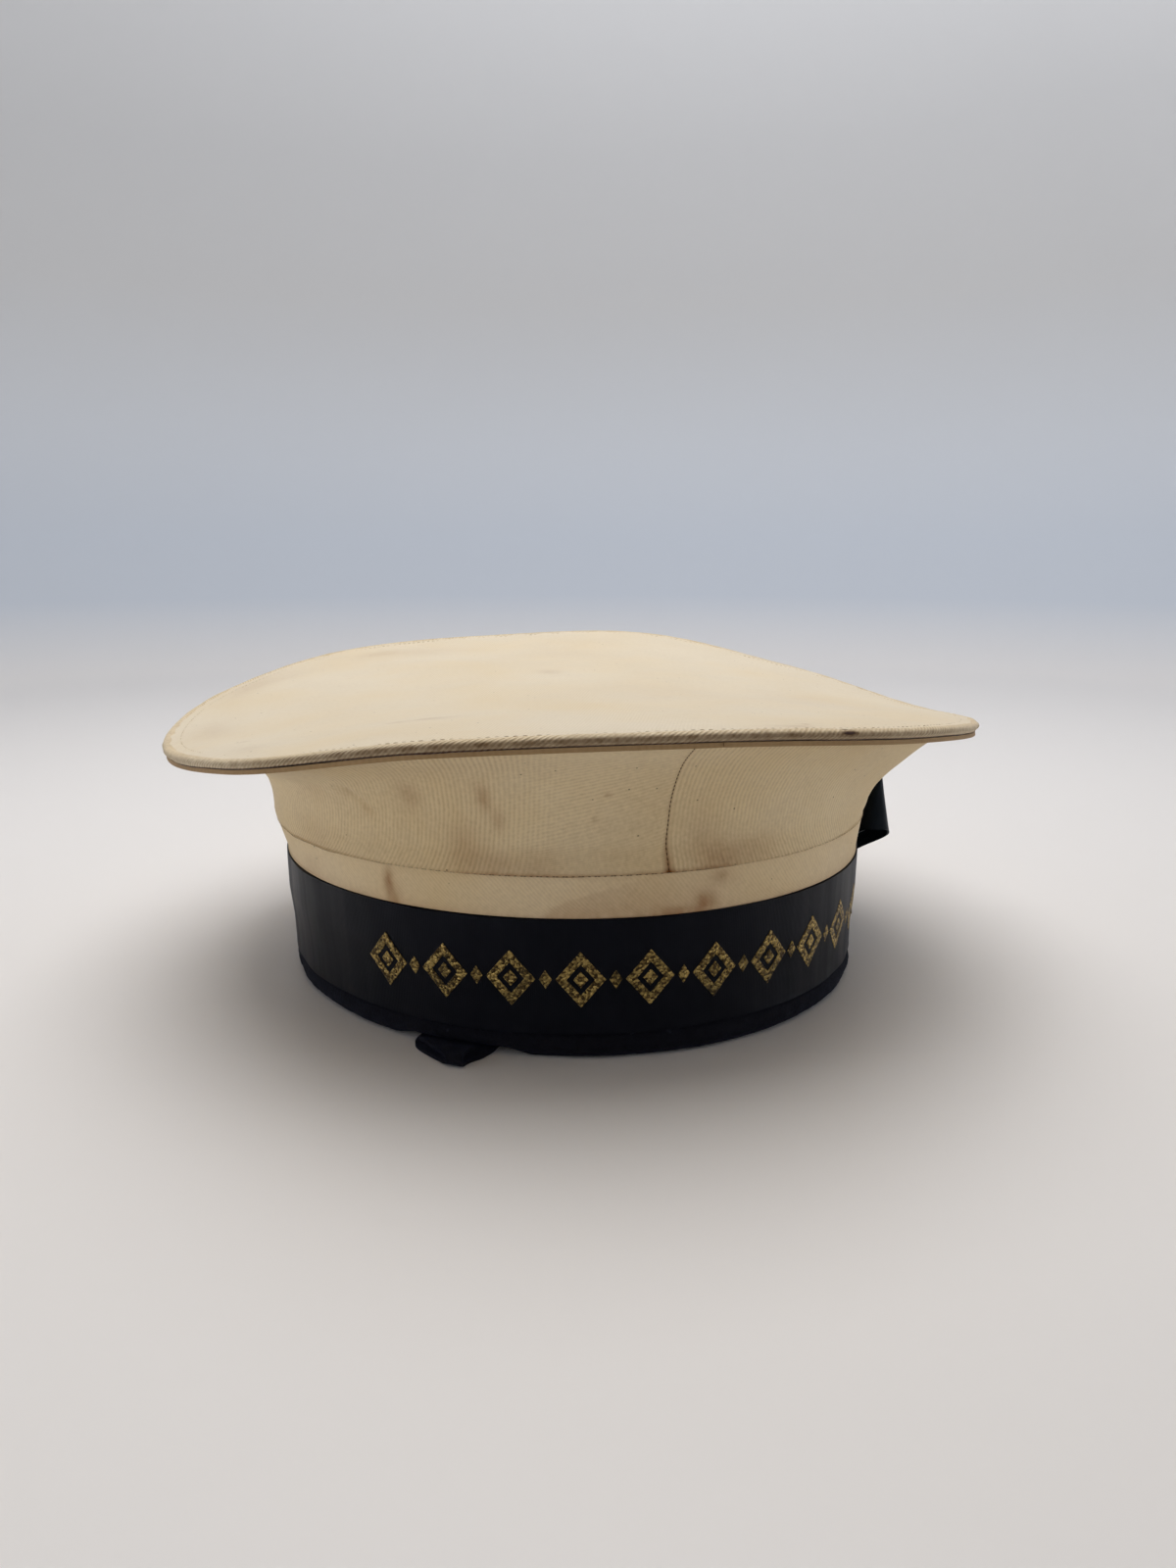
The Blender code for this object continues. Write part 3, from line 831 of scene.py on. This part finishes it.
white_strip = flat_sheet("strip_cloth", 480, 18)
lay_flat(white_strip, lambda x, y, z: (x * math.tau * BAND_FRONT, y * STRIP_HEIGHT))
shape(white_strip, strip_rule)
join_ends()
store_soil_and_shade(white_strip, strip_soil)
give_wall(white_strip, STRIP_WALL, -1)
smooth(white_strip, 50)
white_strip.data.materials.append(cotton_drill("strip_cotton", "EEDAB6", "DFC597", clouding=0.75,
                                               rib=0.00080, turn=0.7, twill=0.00080, twill_turn=-0.9,
                                               ribbed_to=-1.0, depth=0.22, relief=0.00012))
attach(white_strip, "root")
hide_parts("white_strip")


# Navy band
# The cap stands on a stiff band covered with navy wool. The ribbon hides all of it but
# the fuzzy hem, which rises a little where the chin stay comes out under it.
BAND_WAIST = 0.0018
RIBBON_WIDTH = 0.0320
RIBBON_THICK = 0.0010
HEM_HEIGHT = BAND_HEIGHT - RIBBON_WIDTH - GAP
TAB_ANGLE = math.radians(-36.5)
TAB_WIDTH = 0.0230
TAB_THICK = 0.0010
TAB_EASE = 0.0070
WOOL_LENGTH = 0.090
WOOL_FUZZ = ((0.00022, 0.0024, 31), (0.00045, 0.014, 37))
FUZZY_INSET = 0.002

# Girth: share of the band's height, then how far it is drawn in at the front and at the
# sides, as shares of BAND_WAIST
GIRTH_ROWS = (
    (0.00, -0.8, 0.9),
    (0.20, 0.2, 1.0),
    (0.45, 0.3, 0.7),
    (0.70, 0.0, 0.1),
    (1.00, 0.0, 0.0),
)

# Section of the band, inside the hem and round its lower edge and back: how far it is set
# in from the ribbon's face, and its height
BAND_SECTION = (
    (0.0043, 0.0390),
    (0.0043, 0.0280),
    (0.0043, 0.0170),
    (0.0043, 0.0070),
    (0.0043, 0.0012),
    (0.0038, 0.0002),
    (0.0032, 0.0000),
    (0.0023, 0.0002),
    (0.0012, 0.0008),
    (0.0004, 0.0018),
    (0.0001, 0.0030),
    (0.0001, 0.0046),
    (0.0004, 0.0060),
    (0.0013, 0.0067),
    (0.0013, 0.0170),
    (0.0013, 0.0280),
    (0.0013, 0.0390),
    (0.0043, 0.0390),
)


def girth(height, inset):
    """Front and side half-lengths of the band at a height, less an inset."""
    share = height / BAND_HEIGHT
    for low, high in zip(GIRTH_ROWS, GIRTH_ROWS[1:]):
        if share <= high[0]:
            break
    part = (share - low[0]) / (high[0] - low[0])
    front, side = (a + (b - a) * part for a, b in zip(low[1:], high[1:]))
    return BAND_FRONT - BAND_WAIST * front - inset, BAND_SIDE - BAND_WAIST * side - inset


def tab_lift(angle):
    """How far the hem rises to pass over the tab."""
    away = abs(math.remainder(angle - TAB_ANGLE, math.tau)) * BAND_FRONT
    ease = (away - TAB_WIDTH / 2 - TAB_EASE / 2) / TAB_EASE
    return (TAB_THICK + 2 * GAP) * min(1, max(0, 1 - ease))


def row_along(rows, share):
    """All columns of a table, a share of the way along its rows."""
    place = share * (len(rows) - 1)
    index = min(int(place + 0.00001), len(rows) - 2)
    return [a + (b - a) * (place - index) for a, b in zip(rows[index], rows[index + 1])]


def band_rule(x, y, z):
    angle = x * math.tau
    inset, height = row_along(BAND_SECTION, y)
    front, side = girth(height, inset)
    lift = tab_lift(angle) * max(0, 1 - height / HEM_HEIGHT)
    point = on_oval(angle, front, side, height + lift)
    on_hem = height < HEM_HEIGHT and inset < FUZZY_INSET
    return point + outwards(point) * ripples(point, WOOL_FUZZ) * on_hem


def navy_wool(name):
    """Navy melton wool: almost black, dull, felted, with a pale lint hair here and there."""
    material, tree, shader = new_material(name, Roughness=0.95, Sheen_Weight=0.30, Sheen_Roughness=0.4,
                                          Sheen_Tint=linear("2C3860"), Specular_IOR_Level=0.18)
    place = add(tree, "TexCoord").outputs["Object"]
    felt = add(tree, "TexNoise", {"Vector": place, "Scale": 1400, "Detail": 5.0,
                                  "Roughness": 0.7}).outputs["Fac"]
    tufts = add(tree, "TexNoise", {"Vector": place, "Scale": 260, "Detail": 3.0}).outputs["Fac"]
    cloth = mixed(tree, felt, linear("08080E"), linear("14151F"))
    lint = add(tree, "MapRange", {0: tufts, 1: 0.70, 2: 0.80, 3: 0.0, 4: 0.35}).outputs[0]
    cloth = mixed(tree, lint, cloth, linear("4A4C58"))
    tree.links.new(cloth, shader.inputs["Base Color"])
    height = add(tree, "Math", {0: felt, 1: tufts}, operation="ADD").outputs[0]
    bump = add(tree, "Bump", {"Height": height, "Strength": 0.9, "Distance": 0.0005})
    tree.links.new(bump.outputs[0], shader.inputs["Normal"])
    return material


navy_band = flat_sheet("band_wool", 480, 68)
lay_flat(navy_band, lambda x, y, z: (x * math.tau * BAND_FRONT, y * WOOL_LENGTH))
shape(navy_band, band_rule)
join_ends()
turn_faces()
smooth(navy_band, 60)
navy_band.data.materials.append(navy_wool("navy_melton_wool"))
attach(navy_band, "root")
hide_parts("navy_band")


# Band ribbon
# A length of black and navy silk ribbon, 32 mm wide, is drawn tight round the band. It is
# woven with fine upright ribs, shines softly at a slant and is a little rubbed and wavy.
RIBBON_RIB = 0.00060
RIBBON_FLAT = 0.55
RIBBON_FLARE = 0.0002

# Unevenness of the ribbon: in its face, in the curl of its edges and in their height, each
# as height, size and seed of a swell
RIBBON_SLACK = ((0.00022, 0.022, 41),)
RIBBON_CURL = ((0.00035, 0.014, 43),)
RIBBON_WANDER = ((0.0004, 0.035, 47),)


def ribbon_rule(x, y, z):
    angle = x * math.tau
    height = BAND_HEIGHT - RIBBON_WIDTH * (1 - y)
    front, side = girth(height, 0)
    point = on_oval(angle, front, side, height)
    outward = outwards(point)
    near_edge = max(0, abs(2 * y - 1) - RIBBON_FLAT) / (1 - RIBBON_FLAT)
    slack = ripples(point, RIBBON_SLACK) + near_edge ** 2 * ripples(point, RIBBON_CURL)
    point.z += near_edge * ripples((point.x, point.y, 0), RIBBON_WANDER)
    return point + outward * (slack + RIBBON_FLARE * near_edge)


def ribbon_silk(name, dark, worn):
    """Silk ribbon: nearly black, softly shiny, with fine upright ribs and rubbed patches."""
    material, tree, shader = new_material(name, Roughness=0.45, Sheen_Weight=0.06, Sheen_Roughness=0.30,
                                          Sheen_Tint=linear("7080B8"), Specular_IOR_Level=0.15,
                                          Specular_Tint=linear("A8B4D4"))
    flat = add(tree, "UVMap", uv_map="cloth").outputs[0]
    place = add(tree, "TexCoord").outputs["Object"]
    ribs = add(tree, "TexWave", {"Vector": flat, "Scale": waves_for(RIBBON_RIB), "Distortion": 0.8,
                                 "Detail": 1.0, "Detail Scale": 0.4}).outputs["Fac"]
    rubbed = add(tree, "TexNoise", {"Vector": place, "Scale": 60, "Detail": 5.0,
                                    "Roughness": 0.6}).outputs["Fac"]
    fine = add(tree, "TexNoise", {"Vector": place, "Scale": 1500, "Detail": 2.0}).outputs["Fac"]
    upright = add(tree, "Mapping", {"Vector": flat, "Scale": (1, 0.10, 1)}).outputs[0]
    streaks = add(tree, "TexNoise", {"Vector": upright, "Scale": 130, "Detail": 2.0}).outputs["Fac"]
    patches = add(tree, "MapRange", {0: rubbed, 1: 0.42, 2: 0.75, 3: 0.0, 4: 0.8}).outputs[0]
    cloth = mixed(tree, patches, linear(dark), linear(worn))
    lines = add(tree, "MapRange", {0: ribs, 1: 0.0, 2: 1.0, 3: 0.35, 4: 0.0}).outputs[0]
    cloth = mixed(tree, lines, cloth, linear("040406"))
    tree.links.new(cloth, shader.inputs["Base Color"])
    gloss = add(tree, "MapRange", {0: streaks, 1: 0.3, 2: 0.7, 3: 0.40, 4: 0.54}).outputs[0]
    tree.links.new(gloss, shader.inputs["Roughness"])
    height = add(tree, "Math", {0: ribs, 1: 0.8, 2: fine}, operation="MULTIPLY_ADD").outputs[0]
    waves = add(tree, "Bump", {"Height": streaks, "Strength": 0.3, "Distance": 0.0007})
    bump = add(tree, "Bump", {"Height": height, "Strength": 0.35, "Distance": 0.00008,
                              "Normal": waves.outputs[0]})
    tree.links.new(bump.outputs[0], shader.inputs["Normal"])
    return material


band_ribbon = flat_sheet("ribbon_round_band", 480, 32)
lay_flat(band_ribbon, lambda x, y, z: (x * math.tau * BAND_FRONT, y * RIBBON_WIDTH))
shape(band_ribbon, ribbon_rule)
join_ends()
give_wall(band_ribbon, RIBBON_THICK, -1)
smooth(band_ribbon, 50)
band_silk = ribbon_silk("ribbed_navy_silk", "0D0D10", "151519")
band_ribbon.data.materials.append(band_silk)
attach(band_ribbon, "root")
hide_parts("band_ribbon")


# Gold ornament
# A border of lozenges is woven into the ribbon's front in gilt wire. Each is a raised
# frame round a small solid lozenge, with a smaller one between it and the next.
ORNAMENT_LOW = 0.0143
ORNAMENT_HEIGHT = 0.0160
ORNAMENT_START = math.radians(-55)
ORNAMENT_END = math.radians(72)
LOZENGE_WIDTH = 0.0140
LOZENGE_PITCH = 0.0194
GILT_RELIEF = 0.00030
GILT_ROOT = 0.0001
GILT_ROUNDING = 0.00018
FRAME_WIDTH = 0.1584
HEART_SHARE = 0.30
LINK_WIDTH = 0.26
LINK_HEIGHT = 0.34


def gilt_wire(name):
    """Gilt wire thread: yellow metal in tiny loops, some bright with painted glints and the rest dark
    brown, and tarnished in patches.
    """
    material, tree, shader = new_material(name, Metallic=0.85, Roughness=0.42)
    place = add(tree, "TexCoord").outputs["Object"]
    loops = add(tree, "TexVoronoi", {"Vector": place, "Scale": 1500})
    painted_glint = add(tree, "SeparateColor", {0: loops.outputs["Color"]}).outputs[0]
    tarnish = add(tree, "TexNoise", {"Vector": place, "Scale": 160, "Detail": 4.0}).outputs["Fac"]
    # Each loop gets a random brightness from dark brown to bright gold: painted glints on the bright loops
    bright = add(tree, "MapRange", {0: painted_glint, 1: 0.25, 2: 0.9, 3: 0.0, 4: 1.0}).outputs[0]
    gold = mixed(tree, bright, linear("4A3A20"), linear("C9AC68"))
    dull = add(tree, "MapRange", {0: tarnish, 1: 0.45, 2: 0.75, 3: 0.0, 4: 0.7}).outputs[0]
    gold = mixed(tree, dull, gold, linear("3A3422"))
    tree.links.new(gold, shader.inputs["Base Color"])
    bump = add(tree, "Bump", {"Height": loops.outputs["Distance"], "Strength": 1.0,
                              "Distance": 0.0005}, invert=True)
    tree.links.new(bump.outputs[0], shader.inputs["Normal"])
    return material


def on_ribbon(along, height, out):
    """A place on the ribbon's face: metres along it from the front, height, and stand-off."""
    angle = along / ((BAND_FRONT + BAND_SIDE) / 2)
    front, side = girth(height, -out)
    return on_oval(angle, front, side, height)


def lozenge(along, width, tall, framed):
    """A solid or framed lozenge, raised from the ribbon, with rounded edges."""
    bpy.ops.object.select_all(action="DESELECT")
    bpy.ops.mesh.primitive_circle_add(vertices=4, radius=0.5, fill_type="NGON")
    edit_all()
    if framed:
        bpy.ops.mesh.inset(thickness=FRAME_WIDTH)
        bpy.ops.mesh.delete(type="FACE")
        bpy.ops.mesh.select_all(action="SELECT")
    bpy.ops.mesh.subdivide(number_cuts=5)
    bpy.ops.mesh.extrude_region_move(TRANSFORM_OT_translate={"value": (0, 0, 1)})
    bpy.ops.mesh.select_all(action="SELECT")
    bpy.ops.mesh.normals_make_consistent(inside=False)
    object_mode()
    piece = bpy.context.object
    middle = ORNAMENT_LOW + ORNAMENT_HEIGHT / 2
    shape(piece, lambda x, y, z: on_ribbon(along + x * width, middle + y * tall,
                                           GILT_RELIEF * z - GILT_ROOT))
    apply_modifier(piece, "BEVEL", width=GILT_ROUNDING, segments=2, limit_method="ANGLE",
                   angle_limit=math.radians(60))
    return piece


radius = (BAND_FRONT + BAND_SIDE) / 2
count = int((ORNAMENT_END - ORNAMENT_START) * radius / LOZENGE_PITCH)
lozenges = []
for step in range(count):
    along = ORNAMENT_START * radius + (step + 0.5) * LOZENGE_PITCH
    lozenges.append(lozenge(along, LOZENGE_WIDTH, ORNAMENT_HEIGHT, True))
    lozenges.append(lozenge(along, LOZENGE_WIDTH * HEART_SHARE, ORNAMENT_HEIGHT * HEART_SHARE, False))
    if step < count - 1:
        lozenges.append(lozenge(along + LOZENGE_PITCH / 2, LOZENGE_WIDTH * LINK_WIDTH,
                                ORNAMENT_HEIGHT * LINK_HEIGHT, False))
bpy.ops.object.select_all(action="DESELECT")
for piece in lozenges:
    piece.select_set(True)
bpy.context.view_layer.objects.active = lozenges[0]
bpy.ops.object.join()
gold_ornament = named("gold_ornament")
smooth(gold_ornament, 50)
gold_ornament.data.materials.append(gilt_wire("gilt_wire_thread"))
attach(gold_ornament, "root")


# Bow
# The ribbon's ends are tied over the wearer's left ear. Two loops and two tails of the
# same silk are gathered into a knot; the front loop is pushed up against the crown.
BOW_ANGLE = math.radians(90)
BOW_HEIGHT = 0.0280
KNOT_LENGTH = 0.0110
KNOT_HEIGHT = 0.0190
KNOT_DEPTH = 0.0085
KNOT_SPREAD = 1.08
KNOT_WAIST = 0.12
KNOT_PROUD = 1.05
KNOT_CROWN = 0.12
KNOT_FOLD = 0.03
KNOT_FOLDS = 2.5
LOOP_WIDTH = 0.0180
TAIL_WIDTH = 0.0220
TAIL_STAND = 0.0030
TAIL_DROP = 0.0080
SILK_THICK = 0.0007
GATHER_DEPTH = 0.00035
GATHER_COUNT = 3.5
GATHER_REACH = 0.6
SILK_SLACK = 0.00025
SILK_SLACK_SIZE = 0.009

# Length of silk in a loop and in a tail, and the length that the weave is laid over, each
# in reaches
WEAVE_LENGTHS = 2.2

# Loop, along the ribbon from the knot and back to it: shares of the reach, of the stand-off
# at the lower and at the upper edge, of the rise and of the width
LOOP_ROWS = (
    (0.00, 0.20, 0.32, 0.00, 0.58),
    (0.25, 0.20, 0.38, 0.30, 0.72),
    (0.55, 0.22, 0.46, 0.62, 0.90),
    (0.80, 0.27, 0.50, 0.86, 1.00),
    (0.95, 0.40, 0.54, 0.98, 1.00),
    (1.00, 0.62, 0.62, 1.00, 1.00),
    (0.93, 0.88, 0.70, 0.97, 1.00),
    (0.72, 1.00, 0.75, 0.80, 0.96),
    (0.45, 0.90, 0.71, 0.55, 0.84),
    (0.20, 0.62, 0.59, 0.26, 0.68),
    (0.00, 0.40, 0.50, 0.00, 0.58),
)

# Tail from the knot to its end: shares as in the loop, with the drop for the rise
TAIL_ROWS = (
    (0.00, 0.27, 0.27, 0.00, 0.55),
    (0.20, 0.28, 0.27, 0.22, 0.70),
    (0.40, 0.32, 0.28, 0.45, 0.86),
    (0.60, 0.44, 0.30, 0.68, 0.96),
    (0.80, 0.70, 0.34, 0.86, 1.00),
    (1.00, 1.00, 0.40, 1.00, 1.00),
)


def bow_piece(name, node, rows, reach, stand, rise, width, seed):
    """A loop or a tail; a reach below zero runs forward from the knot."""
    root = math.copysign(KNOT_LENGTH / 2 + GAP, reach)

    def rule(x, y, z):
        run, low, high, climb, spread = smooth_row(rows, y)
        out = stand * (low + (high - low) * x)
        gathered = max(0, 1 - run / GATHER_REACH)
        out += GATHER_DEPTH * gathered * math.sin(x * math.tau * GATHER_COUNT + seed)
        height = BOW_HEIGHT + rise * climb + width * spread * (x - 0.5)
        angle = BOW_ANGLE + (root + reach * run) / BAND_FRONT
        point = on_oval(angle, BAND_FRONT + out, BAND_SIDE + out, height)
        return point + outwards(point) * SILK_SLACK * ripple(point, SILK_SLACK_SIZE, seed)

    piece = flat_sheet(name, 40, 110)
    lay_flat(piece, lambda x, y, z: (y * WEAVE_LENGTHS * abs(reach), x * width))
    shape(piece, rule)
    give_wall(piece, SILK_THICK, 0)
    turn_faces()
    smooth(piece, 50)
    piece.data.materials.append(bow_silk)
    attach(piece, "root")
    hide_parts(node)


# The bow's silk is the ribbon's, with a lighter and bluer colour: painted light, for where it stands in
# the open light
bow_silk = ribbon_silk("navy_silk_bow", "0F1518", "181F23")
bow_piece("loop_to_front", "bow_loop_front", LOOP_ROWS, reach=-0.0220, stand=0.0158, rise=0.0200,
          width=LOOP_WIDTH, seed=51)
bow_piece("loop_to_rear", "bow_loop_rear", LOOP_ROWS, reach=0.0240, stand=0.0125, rise=0.0050,
          width=LOOP_WIDTH, seed=53)
bow_piece("tail_to_front", "bow_tail_front", TAIL_ROWS, reach=-0.0230, stand=0.7 * TAIL_STAND,
          rise=-TAIL_DROP, width=TAIL_WIDTH, seed=57)
bow_piece("tail_to_rear", "bow_tail_rear", TAIL_ROWS, reach=0.0270, stand=TAIL_STAND, rise=-TAIL_DROP,
          width=TAIL_WIDTH, seed=59)


def knot_rule(x, y, z):
    """A soft bunch of silk with upright folds, drawn in at its middle and crowned outwards."""
    waist = KNOT_SPREAD - KNOT_WAIST * math.cos(z * math.pi)
    folds = KNOT_FOLD * math.sin(y * math.tau * KNOT_FOLDS) * (x > 0)
    crowned = x * (KNOT_PROUD - KNOT_CROWN * (2 * y) ** 2)
    out = BAND_SIDE + GAP + KNOT_DEPTH * (0.5 + crowned + folds)
    return (out, y * KNOT_LENGTH * waist, BOW_HEIGHT + z * KNOT_HEIGHT)


bpy.ops.object.select_all(action="DESELECT")
bpy.ops.mesh.primitive_cube_add(size=1)
bow_knot = named("knot_of_bow")
edit_all()
bpy.ops.mesh.subdivide(number_cuts=9)
object_mode()
apply_modifier(bow_knot, "BEVEL", width=0.16, segments=3, limit_method="ANGLE",
               angle_limit=math.radians(60))
lay_flat(bow_knot, lambda x, y, z: (z * KNOT_HEIGHT, (y + x) * KNOT_LENGTH))
shape(bow_knot, knot_rule)
apply_modifier(bow_knot, "SUBSURF", levels=1, render_levels=1)
smooth(bow_knot, 70)
bow_knot.data.materials.append(bow_silk)
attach(bow_knot, "root")
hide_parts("bow_knot")


# Chin stay tab
# The end of the chin stay, a doubled navy tape, comes out under the hem and is folded
# back on itself into a blunt point that lies on the floor.
TAB_REACH = 0.0105
TAB_HEIGHT = 0.0036
TAB_SKEW = 0.0060
TAB_WEAVE_LENGTH = 0.034
TAB_CURL = 0.0003
TAB_CURL_SIZE = 0.004

# From the inner end out to the fold and back over itself: shares of the reach, of the
# height between the two layers' middles and of the width
TAB_ROWS = (
    (-1.00, 0.00, 1.00),
    (-0.55, 0.00, 1.00),
    (-0.10, 0.00, 1.00),
    (0.30, 0.00, 0.86),
    (0.65, 0.00, 0.52),
    (0.92, 0.08, 0.26),
    (1.00, 0.45, 0.20),
    (0.90, 0.85, 0.26),
    (0.62, 1.00, 0.50),
    (0.34, 0.96, 0.78),
)


def tab_rule(x, y, z):
    run, up, spread = smooth_row(TAB_ROWS, y)
    aside = TAB_WIDTH * spread * (x - 0.5) + TAB_SKEW * max(0, run) ** 2
    out = TAB_REACH * run
    height = TAB_THICK / 2 + (TAB_HEIGHT - TAB_THICK) * up
    root = on_oval(TAB_ANGLE, BAND_FRONT, BAND_SIDE, height)
    forward = Vector((math.sin(TAB_ANGLE), -math.cos(TAB_ANGLE), 0))
    sideways = Vector((math.cos(TAB_ANGLE), math.sin(TAB_ANGLE), 0))
    point = root + forward * out + sideways * aside
    point.z += TAB_CURL * up * (1 + 2 * ripple(point, TAB_CURL_SIZE, 61))
    return point


chin_stay_tab = flat_sheet("folded_chin_stay", 36, 90)
lay_flat(chin_stay_tab, lambda x, y, z: (y * TAB_WEAVE_LENGTH, x * TAB_WIDTH))
shape(chin_stay_tab, tab_rule)
give_wall(chin_stay_tab, TAB_THICK, 0)
turn_faces()
smooth(chin_stay_tab, 50)
# The tape is as dark and dull as the band's wool, and as felted by wear
chin_stay_tab.data.materials.append(navy_wool("navy_cotton_tape"))
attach(chin_stay_tab, "root")
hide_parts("chin_stay_tab")


# Floor and backdrop
# A plain sheet of smooth paper lies under the cap and sweeps up all round it like a bowl.
# Its faint sheen lightens it at a slant, and it is warm on the floor, cool where it starts
# to rise and grey above.
SWEEP_START = 0.85
SWEEP_RADIUS = 0.45
WALL_TOP = 1.3


def sweep_rule(x, y, z):
    """Out along the floor, up round the sweep, and straight up the wall."""
    run = y * (SWEEP_START + SWEEP_RADIUS * math.pi / 2 + WALL_TOP)
    turn = min(max(run - SWEEP_START, 0) / SWEEP_RADIUS, math.pi / 2)
    past = max(0, run - SWEEP_START - SWEEP_RADIUS * math.pi / 2)
    reach = min(run, SWEEP_START) + SWEEP_RADIUS * math.sin(turn)
    return on_oval(x * math.tau, reach, reach, SWEEP_RADIUS * (1 - math.cos(turn)) + past)


backdrop = flat_sheet("backdrop", 120, 90)
shape(backdrop, sweep_rule)
join_ends()
turn_faces(inside=True)
smooth(backdrop, 80)
sheet_material, sheet_tree, sheet_shader = new_material("smooth_paper", Roughness=0.5,
                                                        Specular_IOR_Level=0.4)
sheet_place = add(sheet_tree, "TexCoord").outputs["Object"]
sheet_up = add(sheet_tree, "SeparateXYZ", {0: sheet_place}).outputs[2]
sheet_share = add(sheet_tree, "MapRange", {0: sheet_up, 1: 0.005, 2: 0.07, 3: 0.0, 4: 1.0}).outputs[0]
sheet_high = add(sheet_tree, "MapRange", {0: sheet_up, 1: 0.14, 2: 0.45, 3: 0.0, 4: 1.0}).outputs[0]
sheet_low_colour = mixed(sheet_tree, sheet_share, linear("E6E3E1"), linear("CAD0D9"))
sheet_tree.links.new(mixed(sheet_tree, sheet_high, sheet_low_colour, linear("D2D1D0")),
                     sheet_shader.inputs["Base Color"])
backdrop.data.materials.append(sheet_material)


# Light and camera
# Soft light falls from a panel over the cap, and low panels at both sides and in front
# reach under the crown. Two more light the backdrop. The camera looks a little down at the
# cap, from the wearer's right of its front.
world = bpy.data.worlds.new("pale_air")
world.use_nodes = True
world.node_tree.nodes["Background"].inputs["Color"].default_value = linear("F2F4F8")
world.node_tree.nodes["Background"].inputs["Strength"].default_value = 0.05
bpy.context.scene.world = world
bpy.context.scene.view_settings.view_transform = "Standard"


def panel(name, place, target, size, power, colour, spread=180):
    """A soft light that faces its target; a narrower spread leaves no hard edge on the floor."""
    data = bpy.data.lights.new(name, "AREA")
    data.shape = "RECTANGLE"
    data.size, data.size_y = size
    data.energy = power
    data.color = linear(colour)[:3]
    data.spread = math.radians(spread)
    light = bpy.data.objects.new(name, data)
    light.location = place
    light.rotation_euler = (Vector(target) - Vector(place)).to_track_quat("-Z", "Y").to_euler()
    bpy.context.collection.objects.link(light)


CROWN_MIDDLE = (0, 0, 0.08)
LOW_SPREAD = 100
panel("overhead", (0.00, 0.08, 0.75), (0, 0, 0), (0.7, 0.7), 4.9, "FFFCF8")
panel("left_side", (-1.0, 0.0, 0.14), CROWN_MIDDLE, (0.8, 0.22), 0.36, "F4F8FF", LOW_SPREAD)
panel("right_side", (1.0, -0.2, 0.14), CROWN_MIDDLE, (0.8, 0.22), 0.42, "F4F8FF", LOW_SPREAD)
panel("front_fill", (-0.30, -1.0, 0.14), CROWN_MIDDLE, (1.2, 0.16), 0.12, "FFF8F0", LOW_SPREAD)
panel("backdrop_left", (-0.20, 0.30, 1.40), (-0.95, 1.05, 0.95), (1.0, 0.5), 6.2, "F6F9FF")
panel("backdrop_right", (0.45, 0.30, 1.40), (1.15, 0.85, 0.95), (1.0, 0.5), 8.9, "F6F9FF")

CAMERA_PLACE = (-0.10650, -0.37963, 0.13692)
CAMERA_DOWN = math.radians(11.74)
CAMERA_TURN = math.radians(-16.5)
camera_data = bpy.data.cameras.new("camera")
camera_data.lens = 27
camera_data.sensor_width = 36
camera_data.clip_start = 0.01
camera = bpy.data.objects.new("camera", camera_data)
camera.location = CAMERA_PLACE
camera.rotation_euler = (math.pi / 2 - CAMERA_DOWN, 0, CAMERA_TURN)
bpy.context.collection.objects.link(camera)
bpy.context.scene.camera = camera
